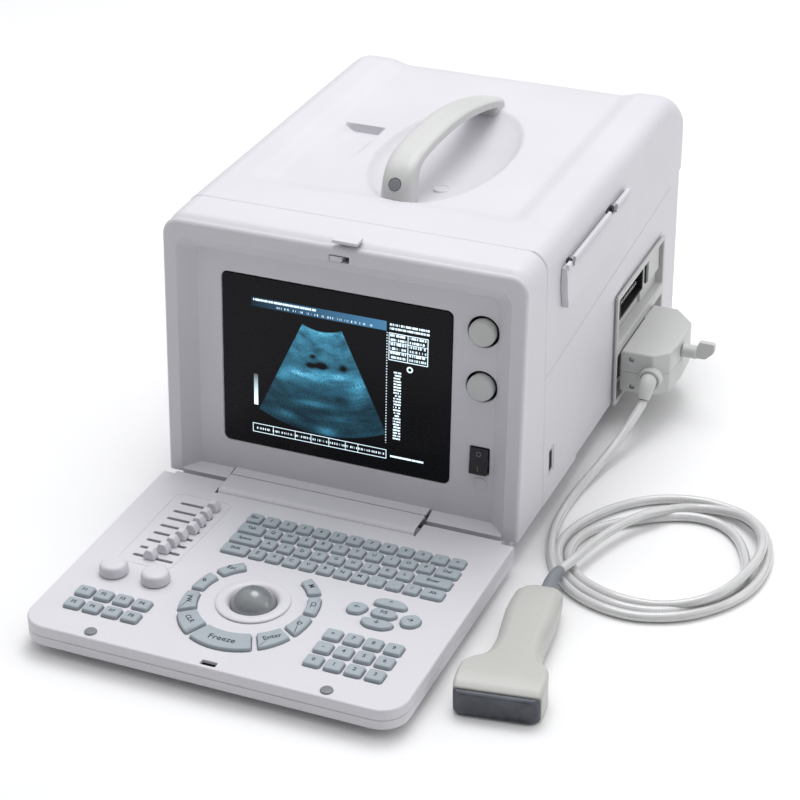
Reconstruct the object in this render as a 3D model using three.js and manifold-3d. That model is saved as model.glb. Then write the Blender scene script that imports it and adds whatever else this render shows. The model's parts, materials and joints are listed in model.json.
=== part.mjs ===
// Portable veterinary ultrasound scanner with a fold-down keyboard, a carrying handle
// and a plugged-in convex probe.
// Working frame while building: x = 0 at the body's middle, y = 0 at the foot of the front
// rim, +Y to the back, z = 0 on the table. Everything is moved to the row's origin at the end.
import * as THREE from 'three';
import { mergeVertices } from 'three/addons/utils/BufferGeometryUtils.js';
import Module from 'manifold-3d';

const wasm = await Module();
wasm.setup();

// ---------------------------------------------------------------- driving dimensions, mm
const GAP = 0.3;              // running gap between separate pieces
const HALF_W = 160;           // half width of the main unit
const WALL = 3.2;             // moulded shell wall
const BODY_Z = 23;            // bottom edge of the upper shells
const TOP_Z = 259;            // top of the shoulders
const SEAM_Y = 60;            // joint between front bezel and main cover
const BACK_Y = 436;           // lower back wall
const BACK_Y2 = 446;          // overhanging upper back
const LEAN_DEG = 4.14;        // lean of the front face
const FACE_H = 231.5;         // height of the front face along its slope
const FLOOR_D = 12;           // depth of the screen recess
const AXIS_Y = -12.2;         // keyboard hinge axis
const AXIS_Z = 17;
const KB_HALF = 160.5;        // half width of the keyboard
const KB_FRONT = -250;
const KB_TOP = 27;
const KB_BOTTOM = 8.5;
const KB_SPLIT = 17.4;        // joint between the keyboard shells
const KB_NOTCH = -24.3;       // back edge beside the hinge knuckles
const KNUCKLES = [[-146, -103], [80, 146]];
const BALL = { x: -1.3, y: -158.9, z: 20.6, r: 18.6 };
const FEET = [[-128, 34], [128, 34], [-128, 404], [128, 404]];
const KNOBS = [['brightness_knob', 119.9, 177], ['contrast_knob', 119.8, 129]];
const SLIDER_Y = [-133.4, -121.5, -110.2, -98.7, -86.9, -75.2, -63.7, -50.8];
const SLIDER_X = [-105.7, -100, -98, -96, -92, -92, -91.5, -91];
const GAIN = [[-123.1, -162.6], [-86.1, -161.5]];
const BUMPERS = [[-99.5, -241.5], [99.5, -241.5]];
const SHIFT = { x: -43.53, y: -98 };

// Centre line of the probe cable, from the plug's relief to the probe's relief.
const CABLE_R = 4;
const CABLE = [
  [191.38, 237.02, 38.84], [191.3, 235.2, 36.5], [190.3, 231, 34], [187, 216, 26.5], [183.1, 199, 19.5],
  [178.3, 177.8, 12.8], [173.5, 151.2, 7.8], [169.5, 123.2, 5.2], [168.4, 93.7, 4.5],
  [170.4, 65.2, 4.4], [176.3, 37.9, 4.4], [186.2, 13, 4.4], [198.9, -6.2, 4.4],
  [214.9, -21.3, 4.4], [232.2, -30.2, 4.4], [251.4, -35.1, 4.4], [271.3, -35.3, 4.4],
  [290.9, -29.6, 4.4], [309.2, -19.6, 4.4], [324.5, -5.1, 4.4], [337.5, 12.8, 4.4],
  [346.5, 33.7, 4.4], [349.9, 58.1, 4.4], [348.2, 83.4, 4.4], [340.9, 107.8, 4.4],
  [329, 126.8, 4.4], [313.7, 139.1, 4.4], [295.4, 145.4, 4.4], [275.4, 147.7, 4.4],
  [256, 144.4, 4.4], [237.9, 136.9, 4.4], [221.8, 125.5, 4.4], [207.9, 110.5, 4.4],
  [196.2, 92.2, 4.4], [187.1, 71.8, 4.4], [183.2, 51.3, 4.4], [184.8, 31.6, 4.4],
  [192.8, 12.5, 4.4], [205.1, -2.9, 4.4], [221.2, -14.9, 4.4], [239, -22.9, 4.4],
  [258.6, -26.7, 4.4], [278.8, -24.9, 4.4], [297.1, -17.6, 4.4], [313.1, -5.2, 4.4],
  [325.3, 9.4, 4.4], [333.7, 26.3, 4.4], [337.2, 45.3, 4.4], [334.6, 65.3, 4.4],
  [327.1, 85.3, 4.4], [316.9, 102.2, 4.4], [304.1, 114.4, 4.4], [289.3, 120.6, 4.4],
  [272.7, 120.7, 4.4], [256.1, 114.8, 4.4], [240.5, 105.7, 4.4], [225.5, 94.7, 4.4],
  [211.7, 83, 4.4], [200.5, 68.9, 4.4], [194, 50.7, 4.4], [194.3, 30.6, 4.4], [202.7, 12.5, 4.4],
  [215.2, -1.2, 4.4], [230.4, -9.7, 4.4], [247.3, -15.1, 4.4], [266.3, -17, 4.4], [285, -16, 5.6],
  [302.6, -12.1, 8.6], [317.3, -4.2, 11.6], [328.3, 8.5, 13], [335.8, 25.7, 13.1],
  [340.7, 46.8, 13.1], [343.3, 68.3, 13], [341.3, 89.8, 13], [333.7, 108.9, 12.8],
  [321.9, 122.9, 11.5], [308.2, 132.9, 8.5], [292.4, 137, 6], [276.9, 136.5, 4.6],
  [263.2, 128.8, 6.2], [252.3, 114.9, 10.2], [242.4, 101.2, 13], [233.2, 88.5, 13.4],
  [225.1, 73.1, 13.7], [218.4, 56.3, 14], [212.5, 37.5, 14.2], [208.2, 18.5, 14.3], [204, 2, 14.4],
  [200.8, -10, 14.4],
];

// ---------------------------------------------------------------- materials
const MATS = {
  shell: [0xe9e7ee, 0.45, 0],
  bezel: [0xd6d4dc, 0.5, 0],
  key: [0xc4d0d8, 0.6, 0],
  light_grey: [0xdcdddc, 0.5, 0],
  mid_grey: [0x86898c, 0.35, 0],
  dark: [0x1b1c1f, 0.5, 0],
  rubber: [0x2b2b2d, 0.85, 0],
  glass: [0x0a0d12, 0.15, 0],
  metal: [0xb5b7ba, 0.3, 0.9],
  board: [0x2d6b45, 0.6, 0],
  lens: [0x5d6470, 0.5, 0],
  cable: [0xcfcfd2, 0.35, 0],
};

function material(slot) {
  const [color, roughness, metalness] = MATS[slot];
  return new THREE.MeshStandardMaterial({ name: slot, color, roughness, metalness });
}

// ---------------------------------------------------------------- solids
function toSolid(geometry) {
  const bare = new THREE.BufferGeometry();
  const source = geometry.index ? geometry.toNonIndexed() : geometry;
  bare.setAttribute('position', source.getAttribute('position').clone());
  const merged = mergeVertices(bare, 1e-4);
  const vertProperties = new Float32Array(merged.getAttribute('position').array);
  const triVerts = new Uint32Array(merged.index.array);
  if (signedVolume(vertProperties, triVerts) < 0) triVerts.reverse();
  return new wasm.Manifold(new wasm.Mesh({ numProp: 3, vertProperties, triVerts }));
}

function signedVolume(points, triangles) {
  const [a, b, c] = [new THREE.Vector3(), new THREE.Vector3(), new THREE.Vector3()];
  let volume = 0;
  for (let i = 0; i < triangles.length; i += 3) {
    a.fromArray(points, triangles[i] * 3);
    b.fromArray(points, triangles[i + 1] * 3);
    c.fromArray(points, triangles[i + 2] * 3);
    volume += a.dot(b.cross(c));
  }
  return volume;
}

function toGeometry(solid) {
  const mesh = solid.getMesh();
  const geometry = new THREE.BufferGeometry();
  geometry.setAttribute('position', new THREE.BufferAttribute(Float32Array.from(mesh.vertProperties), 3));
  geometry.setIndex(new THREE.BufferAttribute(Uint32Array.from(mesh.triVerts), 1));
  geometry.computeVertexNormals();
  return geometry;
}

// Leaning frame of the front face: (x, depth into the body, height up the face).
const lean = new THREE.Matrix4().makeRotationX(THREE.MathUtils.degToRad(-LEAN_DEG));
lean.setPosition(0, 0, BODY_Z);

function onFace(depth, height) {
  const p = new THREE.Vector3(0, depth, height).applyMatrix4(lean);
  return [p.y, p.z];
}

// Prism of a closed outline; the outline is (x, y) for axis z, (y, z) for x, (x, z) for y.
function prism(points, axis, low, high, matrix) {
  const plane = axis === 'y' ? points.map(([a, b]) => [b, a]) : points;
  const shape = new THREE.Shape(plane.map(([a, b]) => new THREE.Vector2(a, b)));
  const geometry = new THREE.ExtrudeGeometry(shape, { depth: high - low, bevelEnabled: false });
  geometry.translate(0, 0, low);
  const position = geometry.getAttribute('position');
  for (let i = 0; i < position.count; i += 1) {
    const [u, v, w] = [position.getX(i), position.getY(i), position.getZ(i)];
    if (axis === 'x') position.setXYZ(i, w, u, v);
    if (axis === 'y') position.setXYZ(i, v, w, u);
  }
  if (matrix) geometry.applyMatrix4(matrix);
  return toSolid(geometry);
}

function box(x0, x1, y0, y1, z0, z1, matrix) {
  return prism([[x0, y0], [x1, y0], [x1, y1], [x0, y1]], 'z', z0, z1, matrix);
}

function arc(cx, cy, r, from, to, n) {
  const points = [];
  for (let i = 0; i <= n; i += 1) {
    const a = THREE.MathUtils.degToRad(from + ((to - from) * i) / n);
    points.push([cx + r * Math.cos(a), cy + r * Math.sin(a)]);
  }
  return points;
}

// Rectangle with rounded corners: radii in the order right-top, left-top, left-bottom, right-bottom.
function roundRect(x0, x1, y0, y1, radii, n = 3) {
  const [rt, lt, lb, rb] = Array.isArray(radii) ? radii : [radii, radii, radii, radii];
  return [
    ...(rt ? arc(x1 - rt, y1 - rt, rt, 0, 90, n) : [[x1, y1]]),
    ...(lt ? arc(x0 + lt, y1 - lt, lt, 90, 180, n) : [[x0, y1]]),
    ...(lb ? arc(x0 + lb, y0 + lb, lb, 180, 270, n) : [[x0, y0]]),
    ...(rb ? arc(x1 - rb, y0 + rb, rb, 270, 360, n) : [[x1, y0]]),
  ];
}

function circle(cx, cy, r, n) {
  return arc(cx, cy, r, 0, 360 - 360 / n, n - 1);
}

// Turned solid about +Z; a closed profile off the axis gives a ring.
function turned(profile, n, matrix) {
  const geometry = new THREE.LatheGeometry(profile.map(([r, z]) => new THREE.Vector2(r, z)), n);
  const stand = new THREE.Matrix4().makeRotationX(Math.PI / 2);
  geometry.applyMatrix4(stand);
  if (matrix) geometry.applyMatrix4(matrix);
  const solid = toSolid(geometry);
  return solid;
}

// Triangles that fill one planar loop, wound the same way as the loop.
function capTriangles(loop) {
  const normal = new THREE.Vector3();
  loop.forEach((p, i) => {
    const q = loop[(i + 1) % loop.length];
    normal.x += (p[1] - q[1]) * (p[2] + q[2]);
    normal.y += (p[2] - q[2]) * (p[0] + q[0]);
    normal.z += (p[0] - q[0]) * (p[1] + q[1]);
  });
  const size = [Math.abs(normal.x), Math.abs(normal.y), Math.abs(normal.z)];
  const drop = size.indexOf(Math.max(...size));
  const [a, b] = [[1, 2], [2, 0], [0, 1]][drop];
  const flat = loop.map((p) => new THREE.Vector2(p[a], p[b]));
  const sense = Math.sign(THREE.ShapeUtils.area(flat));
  return THREE.ShapeUtils.triangulateShape(flat, []).map(([i, j, k]) => {
    const same = Math.sign(THREE.ShapeUtils.area([flat[i], flat[j], flat[k]])) === sense;
    return same ? [i, j, k] : [i, k, j];
  });
}

// Closed skin through a list of equal-length loops of 3-D points.
function loft(loops, matrix) {
  const n = loops[0].length;
  const index = [];
  for (let j = 0; j + 1 < loops.length; j += 1) {
    for (let i = 0; i < n; i += 1) {
      const a = j * n + i;
      const b = j * n + ((i + 1) % n);
      index.push(a, b, b + n, a, b + n, a + n);
    }
  }
  const start = (loops.length - 1) * n;
  for (const [i, j, k] of capTriangles(loops[0])) index.push(i, k, j);
  for (const [i, j, k] of capTriangles(loops[loops.length - 1])) index.push(start + i, start + j, start + k);
  const geometry = new THREE.BufferGeometry();
  geometry.setAttribute('position', new THREE.BufferAttribute(new Float32Array(loops.flat(2)), 3));
  geometry.setIndex(index);
  if (matrix) geometry.applyMatrix4(matrix);
  return toSolid(geometry);
}

// ---------------------------------------------------------------- collecting the pieces
const group = new THREE.Group();
group.name = 'ultrasound_scanner';

function add(name, slot, solid) {
  const mesh = new THREE.Mesh(solid.isBufferGeometry ? solid : toGeometry(solid), material(slot));
  mesh.name = name;
  mesh.geometry.translate(SHIFT.x, SHIFT.y, 0);
  group.add(mesh);
}

function axisX(x, y, z) {
  const matrix = new THREE.Matrix4().makeRotationY(Math.PI / 2);
  matrix.setPosition(x, y, z);
  return matrix;
}

function rodX(x0, x1, y, z, r, n) {
  return prism(circle(y, z, r, n), 'x', x0, x1);
}

function faceDisc(x, h, r, d0, d1, n) {
  return prism(circle(x, h, r, n), 'y', d0, d1, lean);
}

// ---------------------------------------------------------------- main unit shells
function sideOutline(grow) {
  const g = grow;
  return [
    [SEAM_Y - 1, BODY_Z - (g ? 3 : 0)],
    [BACK_Y - g, BODY_Z - (g ? 3 : 0)],
    [BACK_Y - g, 186 + g * 0.4],
    [BACK_Y2 - g, 190 + g * 0.4],
    ...arc(BACK_Y2 - 50, TOP_Z - 50, 50 - g, 0, 90, 6),
    [SEAM_Y - 1, TOP_Z - g],
  ];
}

function frontOutline(inset, bottom) {
  return roundRect(-HALF_W + inset, HALF_W - inset, bottom, TOP_Z - inset, [18 - inset, 18 - inset, 0, 0], 4);
}

function faceRect(x0, x1, h0, h1, d, r) {
  return roundRect(x0, x1, h0, h1, [r, r, 0.5, 0.5], 3).map(([x, h]) => [x, d, h]);
}

function frontBezel() {
  const outline = [
    onFace(0, 0),
    onFace(0, 226),
    onFace(0.7, 230),
    onFace(3, 233),
    [26, 257.5],
    [SEAM_Y - GAP, 258.9],
    [SEAM_Y - GAP, BODY_Z],
  ];
  let body = prism(outline, 'x', -HALF_W, HALF_W);
  body = body.intersect(prism(frontOutline(0, BODY_Z - 1), 'y', -5, 90));
  body = body.intersect(prism(roundRect(-HALF_W, HALF_W, 0, 90, [0, 0, 6, 6], 3), 'z', -9, 245, lean));
  const hollow = [onFace(15, 4.2), onFace(15, 227), [37, 254.4], [70, 255.7], [70, 26.2]];
  const inside = prism(hollow, 'x', -156.8, 156.8);
  body = body.subtract(inside.intersect(prism(frontOutline(WALL, 20), 'y', 5, 90)));
  const recess = loft([
    faceRect(-147, 146.7, -8, 219, -2, 12),
    faceRect(-147, 146.7, -8, 219, 0, 12),
    faceRect(-135, 132.8, -8, 208, FLOOR_D, 6),
  ]);
  const turnedRecess = toSolid(toGeometry(recess).applyMatrix4(lean));
  body = body.subtract(turnedRecess);
  body = body.subtract(prism(roundRect(-111.8, 93.8, 34.7, 189.3, 5.3), 'y', 11, 16, lean));
  for (const [, x, h] of KNOBS) body = body.subtract(faceDisc(x, h, 12.7, 11, 16, 24));
  body = body.subtract(prism(roundRect(111.7, 128.5, 51, 74.7, 0.2, 1), 'y', 11, 16, lean));
  body = body.subtract(box(-6, 12, -1, 20, 221.6, 227.4, lean));
  body = body.subtract(box(-6, 12, 4, 16.5, 222, 248, lean));
  body = body.add(prism(circle(121.5, 40.6, 7, 16), 'y', 11.4, 13, lean));
  for (const [x0, x1] of KNUCKLES) {
    const web = [
      [AXIS_Y, 27.4], [1, 27.4], [13.6, 30], [13.6, 23.2], [8.4, 23.2], [8.4, 10.5], [AXIS_Y, 6.6],
    ];
    body = body.add(prism(web, 'x', x0, x1));
    body = body.add(rodX(x0, x1, AXIS_Y, AXIS_Z, 10.5, 24));
  }
  for (const [x0, x1] of KNUCKLES) body = body.subtract(rodX(x0 - 2, x1 + 2, AXIS_Y, AXIS_Z, 2.8, 12));
  // fixed shelf that carries the line of the hinge cover on to the recess floor
  const shelf = [[1.9, 30.5], [2.9, 29.4], [3.4, 28.9], [13.4, 28.9], [13.4, 30.8]];
  body = body.add(prism(shelf.reverse(), 'x', -101, 78));
  return body;
}

const BAY = { y0: 247, y1: 388, z0: 21, z1: 131 };

function bowl(grow) {
  const loops = [];
  for (let j = 0; j <= 5; j += 1) {
    const a = (j / 5) * 82;
    const c = Math.cos(THREE.MathUtils.degToRad(a));
    const s = Math.sin(THREE.MathUtils.degToRad(a));
    const z = TOP_Z - 3 - (18 + grow) * s;
    const [rx, ry] = [(59 + grow) * c, (110 + grow) * c];
    loops.push(arc(0, 0, 1, 0, 345, 23).map(([u, v]) => [8 + rx * u, 225 + ry * v, z]));
  }
  const [first] = loops;
  loops.unshift(first.map(([x, y]) => [x, y, TOP_Z + 6]));
  return loft(loops.reverse());
}

function mainCover() {
  let body = prism(sideOutline(0), 'x', -HALF_W, HALF_W);
  body = body.intersect(prism(frontOutline(0, BODY_Z - 1), 'y', 0, 500));
  body = body.intersect(prism(roundRect(-HALF_W, HALF_W, -100, BACK_Y2, [12, 12, 0, 0], 3), 'z', 0, 300));
  body = body.subtract(box(-200, 200, 0, SEAM_Y + GAP, 0, 300));
  // low rear part of both side walls, set in behind a curved crease
  const low = [[147, 20], [153, 78], [176, 113], [201, 129], [257, 133], [432, 176], [460, 178], [460, 20]];
  for (const s of [-1, 1]) body = body.subtract(prism(low, 'x', s > 0 ? 158.6 : -170, s > 0 ? 170 : -158.6));
  let inside = prism(sideOutline(WALL), 'x', -155.4, 155.4);
  const ceiling = frontOutline(4.6, 10).map(([x, z]) => [x, z > 250 ? z + 1.4 : z]);
  inside = inside.intersect(prism(ceiling, 'y', 0, 500));
  body = body.subtract(inside);
  const liner = bowl(3).intersect(box(-80, 100, 90, 350, 200, TOP_Z - 1));
  body = body.add(liner).subtract(bowl(0));
  // flat seats for the two feet of the handle
  body = body.add(box(-11, 19, 112, 146, TOP_Z - 8.5, TOP_Z - 3).intersect(bowl(0.5)));
  body = body.add(box(-11, 19, 322, 352, TOP_Z - 8.5, TOP_Z - 3).intersect(bowl(0.5)));
  body = body.subtract(box(-10.2, 18.2, 117, 146, TOP_Z - 3, TOP_Z + 3));
  body = body.subtract(box(-10.2, 18.2, 322, 350.5, TOP_Z - 3, TOP_Z + 3));
  // round boss in the bowl
  body = body.add(prism(circle(23, 178, 7, 12), 'z', 240.5, 243));
  // openings: rear panel, socket bay, USB port
  body = body.subtract(box(-140, 140, BACK_Y - 6, BACK_Y + 2, 34, 178));
  body = body.subtract(box(150, 170, BAY.y0 + 2, BAY.y1 - 2, BAY.z0 - 5, BAY.z1 - 2));
  body = body.subtract(box(150, 170, 73, 86.5, 46, 71));
  return body;
}

function rearPanel() {
  let plate = prism(roundRect(-139.7, 139.7, 34.3, 177.7, 1, 1), 'y', BACK_Y - 3.1, BACK_Y - 0.6);
  for (let i = 0; i < 7; i += 1) {
    const z = 78 + i * 8;
    plate = plate.subtract(box(-112, -48, BACK_Y - 5, BACK_Y + 1, z, z + 3.4));
  }
  plate = plate.subtract(box(71.6, 108.4, BACK_Y - 5, BACK_Y + 1, 52.6, 81.4));
  return plate;
}

function basePan() {
  const outer = prism(roundRect(-152, 152, 9, 428, 8, 2), 'z', 12, BODY_Z - GAP);
  const inner = prism(roundRect(-149, 149, 12, 425, 5, 2), 'z', 14.8, BODY_Z + 4);
  let pan = outer.subtract(inner);
  pan = pan.subtract(box(140, 160, BAY.y0 - 2, BAY.y1 + 2, 15, 30));
  return pan;
}

// ---------------------------------------------------------------- handle and latch
function carryHandle() {
  const outline = [
    [117.5, 256.4], [118.5, 262], [123, 272], [131, 279.5], [146, 285.3], [163, 288], [190, 289],
    [235, 287], [283, 279], [325, 268], [342, 262], [348, 259.5], [350, 256.4],
    [324, 256.4], [322.5, 258.6], [283, 268.6], [235, 276.4], [190, 278.2], [163, 277.4],
    [151, 275], [145.5, 269], [143, 256.4],
  ];
  const side = prism(outline, 'x', -9.8, 17.8);
  const plan = roundRect(-9.8, 17.8, 117, 351, 3, 2);
  let handle = side.intersect(prism(plan, 'z', 250, 295));
  handle = handle.subtract(turned([[0, -4], [5.7, -4], [5.7, 6], [0, 6]], 16, capFrame()));
  return handle;
}

function capFrame() {
  const matrix = new THREE.Matrix4().makeRotationX(THREE.MathUtils.degToRad(56));
  matrix.setPosition(4, 120.6, 267);
  return matrix;
}

function latchButton() {
  let body = prism(roundRect(-10.5, 17.5, 17.5, 35, 2, 2), 'z', 258.7, 261.2);
  body = body.add(box(-1, 7, 5, 10, 223.2, 239, lean).subtract(box(-20, 20, 0, 60, 260.5, 290)));
  return body.add(box(-1, 7, -4.3, 10, 223.2, 226, lean));
}

// ---------------------------------------------------------------- right side
function holderRail() {
  const outline = [[160.4, 194], [166, 194], [166, 222], [164.4, 233.4], [160.4, 233.4]];
  return prism(outline, 'y', 92, 257);
}

function socketBay() {
  const x1 = 161.6;
  let frame = prism(roundRect(BAY.y0, BAY.y1, BAY.z0, BAY.z1, 2.5, 2), 'x', 160.3, x1);
  frame = frame.add(box(150.3, 160.8, BAY.y0 + 2.4, BAY.y1 - 2.4, BODY_Z + 0.4, BAY.z1 - 2.4));
  frame = frame.subtract(box(152.8, 170, 262, 336, 82, 126));
  frame = frame.subtract(box(155, 170, 339, 384, 82, 126));
  frame = frame.subtract(box(152.8, 170, 251, 384, 23, 70));
  frame = frame.subtract(box(140, 170, 266, 334, 98.5, 126.5));
  frame = frame.subtract(box(140, 170, 266, 347, 38, 66));
  frame = frame.add(box(154, 158.5, 347, 380, 92, 120));
  return frame;
}

function socket(y0, y1, z0, z1, depth) {
  const outer = box(151.5 - depth, 158, y0, y1, z0, z1);
  return outer.subtract(box(153.5 - depth, 160, y0 + 2, y1 - 2, z0 + 2, z1 - 2));
}

function usbPort() {
  const body = box(152, 159.6, 73.3, 86.2, 46.3, 70.7);
  return body.subtract(box(154, 161, 76, 83.5, 49, 68));
}

// ---------------------------------------------------------------- inside and back
function displayGlass() {
  return prism(roundRect(-111.5, 93.5, 35, 189, 5), 'y', 12, 14.6, lean);
}

function displayModule() {
  const frame = box(-120, 102, 15.3, 33, 26, 198, lean);
  return frame.subtract(box(-100, 82, 30, 34, 46, 178, lean));
}

function mainBoard() {
  const plate = box(-130, 60, 130, 410, 24, 26);
  return plate.add(box(-80, -20, 200, 270, 25.5, 34)).add(box(0, 30, 180, 230, 25.5, 31));
}

function powerSupply() {
  const can = box(66, 136, 140, 232, 24, 92);
  return can.subtract(box(70, 132, 230, 236, 30, 86));
}

function fanHousing() {
  const cx = -80;
  const cz = 104;
  const outer = box(cx - 30, cx + 30, 410, 432, cz - 30, cz + 30);
  let frame = outer.subtract(prism(circle(cx, cz, 27, 24), 'y', 400, 440));
  frame = frame.add(box(cx - 27.5, cx + 27.5, 410, 412, cz - 1.5, cz + 1.5));
  frame = frame.add(box(cx - 1.5, cx + 1.5, 410, 412, cz - 27.5, cz + 27.5));
  return frame.add(prism(circle(cx, cz, 9, 16), 'y', 410, 416));
}

function fanRotor() {
  const cx = -80;
  const cz = 104;
  let rotor = prism(circle(cx, cz, 9, 16), 'y', 416.4, 429);
  for (let i = 0; i < 7; i += 1) {
    const turn = new THREE.Matrix4().makeTranslation(cx, 0, cz);
    turn.multiply(new THREE.Matrix4().makeRotationY((i * 2 * Math.PI) / 7));
    const blade = [[-3.5, 418], [-2, 418], [4.5, 427.5], [3, 427.5]].map(([a, b]) => [a, b]);
    rotor = rotor.add(prism(blade, 'z', 7, 25.5, turn));
  }
  return rotor;
}

function mainsInlet() {
  const flange = box(68, 112, BACK_Y - 0.3, BACK_Y + 1.7, 49, 85);
  const can = box(72, 108, BACK_Y - 24, BACK_Y, 53, 81);
  let inlet = flange.add(can).subtract(box(76, 104, BACK_Y - 14, BACK_Y + 5, 57, 77));
  for (const [x, z] of [[84, 65], [96, 65], [90, 70]]) {
    inlet = inlet.add(box(x - 1, x + 1, BACK_Y - 15, BACK_Y - 3, z - 2.2, z + 2.2));
  }
  return inlet;
}

// ---------------------------------------------------------------- front controls
function faceKnob(x, h) {
  const cap = faceDisc(x, h, 11.4, 7.4, 14, 24).add(faceDisc(x, h, 10.4, 6.4, 8, 24));
  return cap;
}

function rocker() {
  const outline = [[7.6, 51.5], [9.4, 62.8], [10.4, 74.3], [14.6, 74.3], [14.6, 51.5]];
  return prism(outline.map(([d, h]) => onFace(d, h)), 'x', 112.3, 127.9);
}

// ---------------------------------------------------------------- keyboard outline and keys
function keyboardOutline(inset, midBack) {
  const i = inset;
  const s = i > 0 ? 1 : 0;
  return [
    ...arc(KB_HALF - 22, KB_FRONT + 22, 22 - i, 270, 360, 5),
    [KB_HALF - i, -9 - i],
    [148 + i, -9 - i],
    [148 + i, KB_NOTCH - i],
    [78.3 - i * s, KB_NOTCH - i],
    [78.3 - i * s, midBack - i],
    [-101.3 + i * s, midBack - i],
    [-101.3 + i * s, KB_NOTCH - i],
    [-148 - i, KB_NOTCH - i],
    [-148 - i, -9 - i],
    [-KB_HALF + i, -9 - i],
    ...arc(-KB_HALF + 22, KB_FRONT + 22, 22 - i, 180, 270, 5),
  ];
}

function rectKey(x, y, w, d) {
  return [[x - w / 2, y - d / 2], [x + w / 2, y - d / 2], [x + w / 2, y + d / 2], [x - w / 2, y + d / 2]];
}

function keyRow(x0, y, widths, depth) {
  const keys = [];
  let x = x0;
  for (const w of widths) {
    keys.push(rectKey(x + w / 2, y, w - 1.8, depth));
    x += w;
  }
  return keys;
}

function mainKeys() {
  const row = (n) => Array(n).fill(15);
  return [
    ...keyRow(-59.2, -52, row(13), 13.4),
    ...keyRow(-59.2, -67.6, [24, ...row(10), 22], 13.4),
    ...keyRow(-59.2, -83.4, [27.5, ...row(9), 33], 13.4),
    ...keyRow(-59.2, -99, [25, ...row(10), 20.5], 13.4),
  ];
}

function gridKeys(xs, ys, w, d) {
  return ys.flatMap((y) => xs.map((x) => rectKey(x, y, w, d)));
}

function arrowKeys() {
  return [
    [[69.6, -141], [71, -133], [78, -130], [86.5, -132.5], [86.5, -139], [82.5, -145.5], [74, -146.5]],
    [
      [87, -128.2], [87, -122], [94, -117.8], [108, -117.8],
      [115, -122], [115, -128.2], [108, -129.3], [94, -129.3],
    ],
    [[89, -137.6], [93, -131.6], [108.6, -131.6], [112.8, -137.6], [108.6, -143.8], [93, -143.8]],
    [
      [87, -147.4], [94, -146.2], [107, -146.2], [114, -147.4],
      [114, -153.6], [107, -158.4], [94, -158.4], [87, -153.6],
    ],
    [[115.4, -136], [115.4, -142], [120, -148.4], [128, -147.4], [132.6, -141], [131, -133], [124, -130]],
  ];
}

// Inner and outer radius of the key ring at an angle: the ring is deeper towards the front.
function ringReach(angle) {
  const front = Math.max(0, -Math.sin(THREE.MathUtils.degToRad(angle)));
  return [42.6 + 2.6 * front, 53.6 + 14 * front ** 1.4];
}

function ringEdge(side, grow, from, to, n) {
  const points = [];
  for (let i = 0; i <= n; i += 1) {
    const angle = from + ((to - from) * i) / n;
    const r = ringReach(angle)[side] + grow;
    const a = THREE.MathUtils.degToRad(angle);
    points.push([BALL.x + r * Math.cos(a), BALL.y + r * Math.sin(a)]);
  }
  return points;
}

function ringKey(from, to) {
  const n = Math.max(2, Math.round((to - from) / 12));
  return [...ringEdge(1, 0, from, to, n), ...ringEdge(0, 0, to, from, n)];
}

const RING_KEYS = [[-32, -5.5], [-2, 26], [30, 56], [123, 150], [155, 183], [187, 215], [218, 244.5]];
const FREEZE_KEY = ringKey(247.5, 295);
const ENTER_KEY = ringKey(299, 324.5);

function keyBlocks() {
  return {
    keypad_main: [mainKeys(), roundRect(-60.5, 137, -107.4, -43.6, 1, 1)],
    keypad_left: [
      gridKeys([-130, -113.2, -96.2, -79.2], [-196.6, -214.2], 14.8, 13.6),
      roundRect(-139, -70, -222.6, -188, 1, 1),
    ],
    keypad_numeric: [
      gridKeys([75.8, 92.7, 109.5, 126.4], [-177.7, -195.4, -213.2], 14.6, 14),
      roundRect(66.8, 135.4, -221.8, -169, 1, 1),
    ],
    keypad_arrows: [arrowKeys(), roundRect(68, 134, -160, -116, 6, 2)],
    keypad_ring: [RING_KEYS.map(([a, b]) => ringKey(a, b)), ringMat()],
    freeze_key: [[FREEZE_KEY], shrink(FREEZE_KEY, -0.6)],
    enter_key: [[ENTER_KEY], shrink(ENTER_KEY, -0.6)],
  };
}

function ringMat() {
  const outer = ringEdge(1, 1.7, -34, 246.5, 28).map(([x, y]) => [x, Math.min(y, -107.9)]);
  return [...outer, ...ringEdge(0, -1.7, 246.5, -34, 24)];
}

// Offsets an outline towards its own middle by a fixed distance.
function shrink(points, by) {
  const n = points.length;
  const turn = THREE.ShapeUtils.area(points.map(([x, y]) => new THREE.Vector2(x, y))) > 0 ? 1 : -1;
  return points.map((p, i) => {
    const a = points[(i + n - 1) % n];
    const b = points[(i + 1) % n];
    const u = new THREE.Vector2(p[0] - a[0], p[1] - a[1]).normalize();
    const v = new THREE.Vector2(b[0] - p[0], b[1] - p[1]).normalize();
    const m = new THREE.Vector2(-(u.y + v.y), u.x + v.x).multiplyScalar(turn).normalize();
    const k = Math.max(0.5, Math.abs(m.x * -u.y * turn + m.y * u.x * turn));
    return [p[0] + (m.x * by) / k, p[1] + (m.y * by) / k];
  });
}

function keyMat(keys, base) {
  let mat = prism(base, 'z', 22.4, 24);
  for (const key of keys) mat = mat.add(prism(shrink(key, GAP + 0.1), 'z', 23.6, 30));
  return mat;
}

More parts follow.
